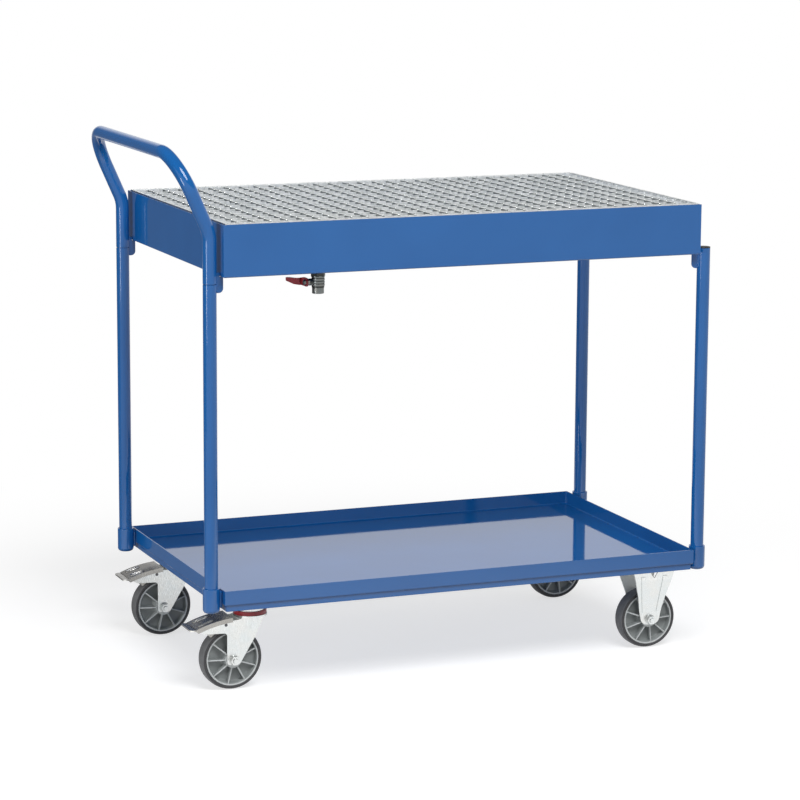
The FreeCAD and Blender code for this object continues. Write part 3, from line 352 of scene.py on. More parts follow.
class Slot(Enum):
    """The record's material slots with the finish of each."""

    # Gloss powder coat: an even strong blue that mirrors the white studio
    BLUE_PAINT = PowderCoat("blue_powder_coat", "#145CA0", 0.055)
    # Hot-dip zinc: pale and half matt, with crystals that differ a little in tone
    GALVANISED = Galvanised("hot_dip_zinc", "#F6F8F7", 0.46, 0.3, dark="#E2E6E5")
    # Nickel-plated brass fittings: a mid grey metal with a soft gleam
    NICKEL = ZincPlate("satin_nickel_plate", "#747A7A", 0.3, 1.0, warm="#7D7E7B", cloud_mm=9.0)
    # Fluoroplastic seats: plain waxy white
    SEAL_WHITE = Moulded("white_seal_plastic", "#E6E6E2", 0.45, second="#DEDED8")
    # Dipped vinyl sleeve: deep red, fairly shiny, with a thick uneven skin
    RED_DIP = Moulded("red_dipped_vinyl", "#8E1F26", 0.3, second="#9C2830", grain_mm=2.5, grain_depth_mm=0.05)
    # Polyethylene plugs: dull black
    BLACK_PLASTIC = Moulded("black_plug_plastic", "#101011", 0.5, second="#18181A")
    # Bright zinc plate: almost white, softly mirroring, with fine upright scuffs
    ZINC = ZincPlate("bright_zinc_plate", "#CCD0D0", 0.3, 1.0, warm="#D0D1CF")
    # Seal ring of coloured polyamide: dark red with a low gleam
    RED_PLASTIC = Moulded("red_seal_plastic", "#8A1F27", 0.35, second="#96262E")
    # Zinc plate under shoe soles: darker than the forks and smeared
    DARK_STEEL = ZincPlate("trodden_pedal_zinc", "#9D9B97", 0.24, 0.8, warm="#A4A29D")
    # Rim polyamide: mid grey and silky
    GREY_PLASTIC = Moulded("grey_rim_polyamide", "#949999", 0.42, second="#9CA1A1")
    # Solid rubber: charcoal grey and matt
    TYRE_RUBBER = Moulded("grey_tyre_rubber", "#38383A", 0.6, second="#3F3F41", grain_mm=1.2)
    # Bearing bush of polyamide: light grey and silky
    BUSH_GREY = Moulded("grey_bush_plastic", "#999C9A", 0.4, second="#8F9290")


class WearAndPaintedLight(Enum):
    """What making, handling and rolling leave on some faces of a piece, and painted light and shade on
    others.
    """

    # Steel worn bare: a bright line along a trodden edge
    STEEL_EDGE = ZincPlate("bare_steel_edge", "#C9CACA", 0.28, 1.0, warm="#D2D0CA")
    # Oily steel: a dark dot on the bright fork
    GREASED_RIVET = ZincPlate("greased_rivet_steel", "#55565A", 0.35, 1.0, warm="#5E5D5A")
    # Painted shade: nickel almost black between the bright rings, where the grooves lie in shade
    TARNISHED = ZincPlate("groove_painted_shade_nickel", "#3E4242", 0.4, 1.0, warm="#484946", cloud_mm=6.0)
    # New zinc skin: the palest part of the grating
    FRESH_ZINC = Galvanised("fresh_zinc_skin", "#F6F8F7", 0.32, 0.3, dark="#ECEFEE")
    # Zinc that froze as a bead: a glint
    ZINC_BEAD = Galvanised("bright_zinc_bead", "#F6F8F7", 0.2, 0.85, dark="#ECEFEE")
    # Painted light: a pale, flatter plate on the inside of the cheeks, which lie in shade
    RAW_ZINC = ZincPlate("cheek_painted_light_zinc", "#E8EBEA", 0.5, 0.25, warm="#E4E5E2")
    # Painted shade: dull grey zinc on the bars' flanks, which parts the cells
    DULL_ZINC = Galvanised("bar_flank_painted_shade_zinc", "#AAB0B0", 0.55, 0.4, dark="#989E9E")
    # Painted highlight: pale ribs and lip on the grey rim, lit against shaded pockets
    RIM_RIB = Moulded("rim_rib_painted_highlight_polyamide", "#CBD0D0", 0.4, second="#D2D6D6")
    # Dusty rubber: a tread lighter than the tyre's side
    TYRE_TREAD = Moulded("dusty_tyre_tread", "#616264", 0.7, second="#6A6B6D", grain_mm=1.6)


@dataclass
class Workshop:
    """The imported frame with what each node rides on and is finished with, and the tools to model with."""

    frame: dict
    merge_mm: float = 0.002
    flat_deg: float = 0.4
    smooth_deg: float = 38.0
    round_deg: float = 60.0

    def __post_init__(self) -> None:
        """Look up each node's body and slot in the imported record."""
        record = self.frame["record"]
        self.nodes = self.frame["nodes"]
        groups = record["behaviour"]["bodies"]
        self.body = {node: body for body, members in groups.items() for node in members}
        self.slot = {part["node"]: part["material_slot"] for part in record["subparts"]}

    def finish(self, node: str) -> bpy.types.Material:
        """The material of a node's slot."""
        return Slot[self.slot[node].upper()].value.material

    def paint(self, node: str) -> None:
        """Give a CAD node its finish.

        Args:
            node: The node's name.
        """
        piece = self.nodes[node]
        for place in piece.material_slots:
            place.material = self.finish(node)
        if not piece.material_slots:
            piece.data.materials.append(self.finish(node))

    def only(self, piece: Piece) -> None:
        """Select one piece and nothing else.

        Args:
            piece: The piece, which becomes the active one.
        """
        bpy.ops.object.select_all(action="DESELECT")
        piece.select_set(True)
        bpy.context.view_layer.objects.active = piece

    def adopt(self, piece: Piece, node: str, stands_for: bool = True) -> Piece:
        """Put a finished piece on its node's body, in its node's finish.

        Args:
            piece: The modelled piece, in place.
            node: The CAD node that it belongs with.
            stands_for: Whether the CAD node is hidden in its favour.

        Returns:
            The piece.
        """
        piece.data.materials.clear()
        piece.data.materials.append(self.finish(node))
        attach(piece, self.body[node])
        if stands_for:
            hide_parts(node)
        log.info("%s rides on %s", piece.name, self.body[node])
        return piece

    def rub(self, piece: Piece, finish: WearAndPaintedLight, proud: Callable[[Face], bool]) -> None:
        """Give some faces of a piece their worn finish, or their painted light or shade.

        Args:
            piece: The piece, already in its own finish.
            finish: What the worn or painted faces look like.
            proud: Says whether a face is one of them.
        """
        piece.data.materials.append(finish.value.material)
        last = len(piece.data.materials) - 1
        rubbed = [face for face in piece.data.polygons if proud(face)]
        for face in rubbed:
            face.material_index = last
        log.info("%s has %d faces of %s", piece.name, len(rubbed), finish.value.name)

    def pick(self, piece: Piece, chosen: Callable[[Vector], bool]) -> None:
        """Select the corners of a piece by their place.

        Args:
            piece: The piece, in edit mode.
            chosen: Says whether a corner at this place is selected.
        """
        bpy.ops.mesh.select_all(action="DESELECT")
        bpy.ops.mesh.select_mode(type="VERT")
        shape = bmesh.from_edit_mesh(piece.data)
        for corner in shape.verts:
            corner.select_set(chosen(corner.co))
        bmesh.update_edit_mesh(piece.data)

    def pick_edges(self, piece: Piece, chosen: Callable[[bmesh.types.BMEdge], bool]) -> None:
        """Select some edges of a piece.

        Args:
            piece: The piece, in edit mode.
            chosen: Says whether an edge is selected.
        """
        bpy.ops.mesh.select_all(action="DESELECT")
        bpy.ops.mesh.select_mode(type="EDGE")
        shape = bmesh.from_edit_mesh(piece.data)
        for edge in shape.edges:
            if chosen(edge):
                edge.select_set(True)
        bmesh.update_edit_mesh(piece.data)

    def round_edges(
        self, piece: Piece, width_mm: float, segments: int, chosen: Callable[[float], bool],
    ) -> None:
        """Bevel the edges of a piece whose angle is chosen.

        Args:
            piece: The piece, in edit mode.
            width_mm: The width of the rounding.
            segments: Steps across it.
            chosen: Says whether an edge of this angle is rounded; an inside corner's angle is negative.
        """
        self.pick_edges(piece, lambda edge: (
            len(edge.link_faces) == 2 and chosen(edge.calc_face_angle_signed())
        ))
        bpy.ops.mesh.bevel(offset=width_mm * MM, segments=segments, affect="EDGES", clamp_overlap=True)

    def soften(
        self, node: str, edge_mm: float, fold_mm: float = 0.0, sharp_deg: float = 32.0, segments: int = 2,
    ) -> Piece:
        """Copy a CAD node, merge its faces and round its sharp edges as a press or a file leaves them.

        Args:
            node: The CAD node to copy.
            edge_mm: The width of the rounding.
            fold_mm: The radius of its inside corners, where they are folded and not cut.
            sharp_deg: The least angle between two faces that counts as an edge.
            segments: Steps across the rounding.

        Returns:
            The softened piece, which stands for the node.
        """
        piece = bpy.data.objects.new(f"{node}_softened", self.nodes[node].data.copy())
        bpy.context.collection.objects.link(piece)
        self.only(piece)
        bpy.ops.object.mode_set(mode="EDIT")
        bpy.ops.mesh.select_all(action="SELECT")
        bpy.ops.mesh.customdata_custom_splitnormals_clear()
        bpy.ops.mesh.remove_doubles(threshold=self.merge_mm * MM)
        bpy.ops.mesh.dissolve_limited(angle_limit=math.radians(self.flat_deg))
        sharp = math.radians(sharp_deg)
        if fold_mm:
            self.round_edges(piece, fold_mm, 2 * segments, lambda angle: angle < -sharp)
            self.round_edges(piece, edge_mm, segments, lambda angle: angle > sharp)
        else:
            self.round_edges(piece, edge_mm, segments, lambda angle: abs(angle) > sharp)
        bpy.ops.object.mode_set(mode="OBJECT")
        bpy.ops.object.shade_smooth_by_angle(angle=math.radians(self.smooth_deg))
        bpy.ops.object.modifier_add(type="WEIGHTED_NORMAL")
        piece.modifiers[-1].keep_sharp = True
        bpy.ops.object.modifier_apply(modifier=piece.modifiers[-1].name)
        return self.adopt(piece, node)

    def shade_round(self) -> None:
        """Shade the active piece as a round one."""
        bpy.ops.object.shade_smooth_by_angle(angle=math.radians(self.round_deg))

    def repeat(self, piece: Piece, count: int, step: Place) -> None:
        """Repeat the active piece in a row.

        Args:
            piece: The piece, in place.
            count: How many there are in the end.
            step: The way from one to the next.
        """
        bpy.ops.object.modifier_add(type="ARRAY")
        row = piece.modifiers[-1]
        row.count = count
        row.use_relative_offset = False
        row.use_constant_offset = True
        row.constant_offset_displace = step
        bpy.ops.object.modifier_apply(modifier=row.name)

    def lay_copies(self, piece: Piece, name: str, places: Iterable[Place], tilt: float = 0.0) -> Piece:
        """Lay a copy of a piece on every place, join the copies and remove the original.

        Args:
            piece: The piece, modelled on the origin.
            name: The joined copies' name.
            places: Where the copies lie.
            tilt: How far they are turned about Y.

        Returns:
            The joined copies, with their place in their mesh.
        """
        copies = []
        for place in places:
            copy = bpy.data.objects.new(name, piece.data.copy())
            bpy.context.collection.objects.link(copy)
            copy.location = place
            copy.rotation_euler = (0.0, tilt, 0.0)
            copies.append(copy)
        bpy.data.objects.remove(piece)
        self.only(copies[0])
        for copy in copies:
            copy.select_set(True)
        bpy.ops.object.join()
        bpy.ops.object.transform_apply(location=True, rotation=True, scale=True)
        return copies[0]


@dataclass
class Assembly:
    """CAD nodes that are dressed together, with the rounding of their edges and folds in millimetres."""

    shop: Workshop
    softened: dict[str, float] = field(default_factory=dict)
    folded: dict[str, float] = field(default_factory=dict)

    def build(self) -> None:
        """Round the edges of the pieces that show them."""
        for node, edge_mm in self.softened.items():
            self.shop.soften(node, edge_mm, self.folded.get(node, 0.0))


@dataclass
class Sump(Assembly):
    """The sump tray with the ledges and drain boss welded to it."""

    softened: dict[str, float] = field(default_factory=lambda: {
        "upper_tray": 0.7, "grating_ledges": 0.5, "upper_lugs": 0.6, "drain_boss": 0.5,
    })
    folded: dict[str, float] = field(default_factory=lambda: {"upper_tray": 3.0})


@dataclass
class LowerDeck(Assembly):
    """The lower tray on its base frame."""

    softened: dict[str, float] = field(default_factory=lambda: {
        "lower_tray": 0.7, "base_frame": 0.6, "castor_rails": 0.5, "lower_lugs": 0.5, "leg_sockets": 0.6,
    })
    folded: dict[str, float] = field(default_factory=lambda: {"lower_tray": 3.0})


@dataclass
class TubeFrame(Assembly):
    """Legs and push handle, with the weld beads that join them to the trays."""

    lug_half: float = 2.0 * MM
    low_lug_half: float = 4.0 * MM
    lug_bead: float = 2.0 * MM
    low_lug_bead: float = 2.3 * MM
    low_lug_gap: float = 1.9 * MM
    bead_inset: float = 1.5 * MM
    bead_sides: int = 10
    ripple: float = 2.4 * MM
    ripple_rise: float = 0.2
    end_taper: float = 0.55
    softened: dict[str, float] = field(default_factory=lambda: {
        "push_handle": 0.6, "leg_plugs": 0.6,
    } | {f"leg_{end}_{side}": 0.6 for end in ("rear", "front") for side in SIDES})

    def build(self) -> None:
        """Round the tube ends and the plugs, then weld the lugs to the legs and the sockets to the tray."""
        super().build()
        tray_low, tray_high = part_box("upper_tray")
        middle = (tray_low[0] + tray_high[0]) / 2
        high_spots, low_spots = [], []
        for end in ("rear", "front"):
            for side in SIDES:
                low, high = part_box(f"leg_{end}_{side}")
                x, y, radius = (low[0] + high[0]) / 2, (low[1] + high[1]) / 2, (high[0] - low[0]) / 2
                inward = math.copysign(1.0, middle - x)
                tray_end = tray_low[0] if inward > 0 else tray_high[0]
                foot = math.sqrt(radius ** 2 - self.lug_half ** 2)
                for flank in (-1, 1):
                    high_spots.append((x + inward * foot, y + flank * self.lug_half))
                    low_spots.append((tray_end - inward * self.low_lug_gap, y + flank * self.low_lug_half))
        self.weld("upper_lugs", self.lug_bead, high_spots)
        self.weld("lower_lugs", self.low_lug_bead, low_spots)

    def weld(self, node: str, radius: float, spots: list[tuple[float, float]]) -> None:
        """Model one upright bead as high as the lugs and lay a copy on every seam.

        Args:
            node: The lugs' node, which gives the height and the finish.
            radius: The bead's radius.
            spots: The seams' places in X and Y.
        """
        low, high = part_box(node)
        foot, length = low[2] + self.bead_inset, high[2] - low[2] - 2 * self.bead_inset
        bead = self.model_bead(f"{node}_bead", length, radius)
        welds = self.shop.lay_copies(bead, f"{node}_welds", [(x, y, foot) for x, y in spots])
        self.shop.adopt(welds, node, stands_for=False)

    def model_bead(self, name: str, length: float, radius: float) -> Piece:
        """Model an upright weld bead on the origin: a rod with a ripple for each stop of the torch.

        Args:
            name: The bead's name.
            length: Its height.
            radius: Its radius between the ripples.

        Returns:
            The bead.
        """
        shop, rows = self.shop, 2 * round(length / self.ripple)
        step = length / rows
        bpy.ops.object.select_all(action="DESELECT")
        bpy.ops.mesh.primitive_cylinder_add(
            vertices=self.bead_sides, radius=radius, depth=length, location=(0.0, 0.0, length / 2),
            end_fill_type="TRIFAN",
        )
        bead = bpy.context.object
        bead.name = name
        bpy.ops.object.transform_apply(location=True, rotation=True, scale=True)
        bpy.ops.object.mode_set(mode="EDIT")
        shop.pick_edges(bead, lambda edge: abs(edge.verts[0].co.z - edge.verts[1].co.z) > length / 2)
        bpy.ops.mesh.subdivide(number_cuts=rows - 1)
        shop.pick(bead, lambda place: round(place.z / step) % 2 == 1)
        bpy.ops.transform.shrink_fatten(value=self.ripple_rise * radius)
        shop.pick(bead, lambda place: round(place.z / step) in (0, rows))
        bpy.ops.transform.resize(
            value=(self.end_taper, self.end_taper, 1.0), center_override=(0.0, 0.0, 0.0),
        )
        bpy.ops.object.mode_set(mode="OBJECT")
        shop.shade_round()
        return bead


@dataclass
class Grating(Assembly):
    """The pressed grating: border, bearing bars and cross bars, with the zinc that gathers on them."""

    bearing_count: int = 29
    cross_count: int = 17
    bar_thick: float = 2.0 * MM
    bar_edge_mm: float = 0.3
    border_edge_mm: float = 0.9
    border_swell: float = 2.2 * MM
    rounded_share: float = 1.1
    upright: float = 0.5
    drop_radius: float = 2.5 * MM
    drop_height: float = 2.6 * MM
    drop_sunk: float = 0.3
    drop_sides: int = 8
    drop_rings: int = 6

    def build(self) -> None:
        """Round the bars, paint shade on the bearing bars' flanks, brighten the border's skin, and leave a
        drop on every crossing.
        """
        self.shop.soften("grating_cross_bars", self.bar_edge_mm)
        bearing = self.shop.soften("grating_bearing_bars", self.bar_edge_mm)
        # Painted shade: the bearing bars' flanks are dull grey
        self.shop.rub(bearing, WearAndPaintedLight.DULL_ZINC, lambda face: abs(face.normal.x) > self.upright)
        self.swell_border()
        self.drop_zinc()

    def swell_border(self) -> None:
        """Round the border and let the dip's zinc stand proud along its upper edge."""
        shop, border = self.shop, self.shop.soften("grating_border", self.border_edge_mm)
        low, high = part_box("grating_border")
        top, middle = high[2], (Vector(low) + Vector(high)) / 2
        edge = top - self.rounded_share * self.border_edge_mm * MM
        bpy.ops.object.mode_set(mode="EDIT")
        shop.pick(border, lambda place: place.z > edge)
        bpy.ops.transform.translate(value=(0.0, 0.0, self.border_swell))
        bpy.ops.object.mode_set(mode="OBJECT")
        shop.rub(border, WearAndPaintedLight.FRESH_ZINC, lambda face: face.normal.z > -self.upright)
        shop.rub(border, WearAndPaintedLight.ZINC_BEAD, lambda face: (
            max(border.data.vertices[corner].co.z for corner in face.vertices) > top
            and (face.center - middle).xy.dot(face.normal.xy) > 0
        ))

    def drop_zinc(self) -> None:
        """Model one frozen drop of zinc and repeat it over the crossings of the bars."""
        low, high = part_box("grating_bearing_bars")
        back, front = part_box("grating_cross_bars")
        along = (high[0] - low[0] - self.bar_thick) / (self.bearing_count - 1)
        across = (front[1] - back[1] - self.bar_thick) / (self.cross_count - 1)
        half = self.bar_thick / 2
        first = Vector((low[0] + half, back[1] + half, high[2] - self.drop_sunk * self.drop_height))
        bpy.ops.object.select_all(action="DESELECT")
        bpy.ops.mesh.primitive_uv_sphere_add(
            segments=self.drop_sides, ring_count=self.drop_rings, radius=self.drop_radius, location=first,
        )
        drops = bpy.context.object
        drops.name = "grating_zinc_drops"
        bpy.ops.object.mode_set(mode="EDIT")
        bpy.ops.mesh.bisect(plane_co=first, plane_no=(0.0, 0.0, 1.0), use_fill=True, clear_inner=True)
        bpy.ops.mesh.select_all(action="SELECT")
        stretch = self.drop_height / self.drop_radius
        bpy.ops.transform.resize(value=(1.0, 1.0, stretch), center_override=first)
        bpy.ops.object.mode_set(mode="OBJECT")
        bpy.ops.object.transform_apply(location=True, rotation=True, scale=True)
        self.shop.repeat(drops, self.bearing_count, (along, 0.0, 0.0))
        self.shop.repeat(drops, self.cross_count, (0.0, across, 0.0))
        self.shop.shade_round()
        self.shop.adopt(drops, "grating_bearing_bars", stands_for=False)
        self.shop.rub(drops, WearAndPaintedLight.ZINC_BEAD, lambda face: True)


@dataclass
class DrainValve(Assembly):
    """The ball valve under the sump, its round body turned with grip rings."""

    body_edge_mm: float = 0.5
    upright: float = 0.5
    ring_count: int = 4
    ring_pitch: float = 5.4 * MM
    ring_thick: float = 1.7 * MM
    ring_proud: float = 0.5 * MM
    ring_sides: int = 48
    ring_steps: int = 10
    crown_from: float = 0.7
    crown_stretch: float = 1.8
    softened: dict[str, float] = field(default_factory=lambda: {
        "valve_end_piece": 0.4, "valve_lever": 0.7, "lever_nut": 0.4, "valve_gland_nut": 0.4,
    })

    def build(self) -> None:
        """Round the fittings, paint shade on the body between its rings, and turn the rings on it."""
        super().build()
        body = self.shop.soften("valve_body", self.body_edge_mm)
        # Painted shade: the body's sides go almost black between the grip rings
        self.shop.rub(body, WearAndPaintedLight.TARNISHED, lambda face: abs(face.normal.z) < self.upright)
        self.turn_rings()

    def turn_rings(self) -> None:
        """Model one grip ring round the body and repeat it up the body."""
        low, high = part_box("valve_body")
        outlet_low, outlet_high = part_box("valve_end_piece")
        reach = (high[1] - low[1]) / 2 + self.ring_proud - self.ring_thick
        crown = reach + self.crown_from * self.ring_thick
        first = Vector((
            (outlet_low[0] + outlet_high[0]) / 2, (low[1] + high[1]) / 2, low[2] + self.ring_pitch,
        ))
        bpy.ops.object.select_all(action="DESELECT")
        bpy.ops.mesh.primitive_torus_add(
            major_segments=self.ring_sides, minor_segments=self.ring_steps,
            major_radius=reach, minor_radius=self.ring_thick, location=first,
        )
        rings = bpy.context.object
        rings.name = "valve_grip_rings"
        bpy.ops.object.mode_set(mode="EDIT")
        self.shop.pick(rings, lambda place: place.xy.length > crown)
        bpy.ops.transform.resize(value=(1.0, 1.0, self.crown_stretch), center_override=first)
        bpy.ops.object.mode_set(mode="OBJECT")
        bpy.ops.object.transform_apply(location=True, rotation=True, scale=True)
        self.shop.repeat(rings, self.ring_count, (0.0, 0.0, self.ring_pitch))
        self.shop.shade_round()
        self.shop.adopt(rings, "valve_body", stands_for=False)


@dataclass
class Castors(Assembly):
    """Wheels, forks, brackets and brake pedals under both ends."""

    wheel_y: float = 0.226
    rim_edge_mm: float = 0.6
    rib_top: float = 12.8 * MM
    upright: float = 0.3
    tyre_edge_mm: float = 0.8
    tread_slope: float = 0.6
    bracket_edge_mm: float = 0.5
    rivet_edge_mm: float = 0.4
    pedal_edge_mm: float = 0.9
    worn_face: float = 2.0 * MM
    slot_from_toe: float = 35.2 * MM
    slot_side: float = 17.0 * MM
    slot_length: float = 29.0 * MM
    slot_width: float = 6.0 * MM
    slot_rim: float = 1.3 * MM
    slot_rim_sides: int = 18
    slot_rim_steps: int = 8
    softened: dict[str, float] = field(default_factory=lambda: {
        f"{node}_{side}": 0.5 for side in SIDES for node in ("swivel_fork", "axle_bolt", "swivel_ring")
    } | {node: 0.5 for node in ("fixed_axle_bolts", "swivel_top_plates", "castor_bolts", "king_pins")})

    def build(self) -> None:
        """Round the pressings, then dress wheels, brackets and pedals with what use has worn and with painted
        light.
        """
        super().build()
        for side, sign in SIDES.items():
            for end in ("front", "rear"):
                self.dress_wheel(f"{end}_rim_{side}", f"{end}_tyre_{side}", sign * self.wheel_y)
            self.dress_bracket(f"fixed_bracket_{side}", sign * self.wheel_y)
            self.dress_pedal(side)
            rivet = self.shop.soften(f"pedal_pin_{side}", self.rivet_edge_mm)
            self.shop.rub(rivet, WearAndPaintedLight.GREASED_RIVET, lambda face: True)

    def dress_wheel(self, rim: str, tyre: str, middle: float) -> None:
        """Paint highlights on a rim's ribs and lip, and dust its tyre's tread.

        Args:
            rim: The rim's node.
            tyre: The tyre's node.
            middle: The wheel's mid-plane in Y.
        """
        shop = self.shop
        soft_rim = shop.soften(rim, self.rim_edge_mm)
        # Painted highlight: the ribs and lip are pale against the pockets
        shop.rub(soft_rim, WearAndPaintedLight.RIM_RIB, lambda face: (
            abs(face.center.y - middle) > self.rib_top and abs(face.normal.y) > self.upright
        ))
        soft_tyre = shop.soften(tyre, self.tyre_edge_mm)
        shop.rub(soft_tyre, WearAndPaintedLight.TYRE_TREAD, lambda face: abs(face.normal.y) < self.tread_slope)

    def dress_bracket(self, bracket: str, middle: float) -> None:
        """Round a fixed bracket's edges and paint light on the inside of its cheeks, which lie in shade.

        Args:
            bracket: The bracket's node.
            middle: The wheel's mid-plane in Y.
        """
        piece = self.shop.soften(bracket, self.bracket_edge_mm)
        # Painted light: the inside of the cheeks is pale
        self.shop.rub(piece, WearAndPaintedLight.RAW_ZINC, lambda face: (
            abs(face.normal.y) > self.upright and (face.center.y - middle) * face.normal.y < 0
        ))

    def dress_pedal(self, side: str) -> None:
        """Wear a pedal's edges to bare steel and press a rounded rim round each of its two slots.

        Args:
            side: The pedal's side.
        """
        shop, node = self.shop, f"brake_pedal_{side}"
        pedal = shop.soften(node, self.pedal_edge_mm)
        shop.rub(pedal, WearAndPaintedLight.STEEL_EDGE, lambda face: face.area < self.worn_face ** 2)
        low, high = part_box(node)
        middle = (low[1] + high[1]) / 2
        above = Vector((low[0] + self.slot_from_toe, middle, 2 * high[2]))
        bpy.context.view_layer.update()
        _, spot, up, _ = pedal.ray_cast(above, (0.0, 0.0, -1.0))
        places = [(spot.x, middle + sign * self.slot_side, spot.z) for sign in SIDES.values()]
        tilt = math.atan2(up.x, up.z)
        rims = shop.lay_copies(self.model_slot_rim(), f"pedal_slot_rims_{side}", places, tilt)
        shop.adopt(rims, node, stands_for=False)
        shop.rub(rims, WearAndPaintedLight.STEEL_EDGE, lambda face: True)

    def model_slot_rim(self) -> Piece:
        """Model a rounded rim on the origin: a ring drawn out to the slot's length.

        Returns:
            The rim.
        """
        bpy.ops.object.select_all(action="DESELECT")
        bpy.ops.mesh.primitive_torus_add(
            major_segments=self.slot_rim_sides, minor_segments=self.slot_rim_steps,
            major_radius=(self.slot_width + self.slot_rim) / 2, minor_radius=self.slot_rim,
        )
        rim = bpy.context.object
        draw = (self.slot_length - self.slot_width) / 2
        bpy.ops.object.mode_set(mode="EDIT")
        for way in (-1, 1):
            self.shop.pick(rim, lambda place: way * place.x > 0)
            bpy.ops.transform.translate(value=(way * draw, 0.0, 0.0))
        bpy.ops.object.mode_set(mode="OBJECT")
        self.shop.shade_round()
        return rim


@dataclass(frozen=True)
class SoftBox:
    """A round or oval soft box: where it hangs, its size, its power and whether gloss shows it."""

    at: Place
    width: float
    height: float
    watts: float
    glints: bool = True

    def hang(self, name: str, target: Place) -> None:
        """Hang the box and turn it to a target.

        Args:
            name: The lamp's name.
            target: The point that it faces.
        """
        lamp = bpy.data.lights.new(name, "AREA")
        lamp.shape = "ELLIPSE"
        lamp.size = self.width
        lamp.size_y = self.height
        lamp.energy = self.watts
        hung = bpy.data.objects.new(name, lamp)
        hung.location = self.at
        hung.rotation_euler = (Vector(target) - Vector(self.at)).to_track_quat("-Z", "Y").to_euler()
        hung.visible_glossy = self.glints
        bpy.context.collection.objects.link(hung)


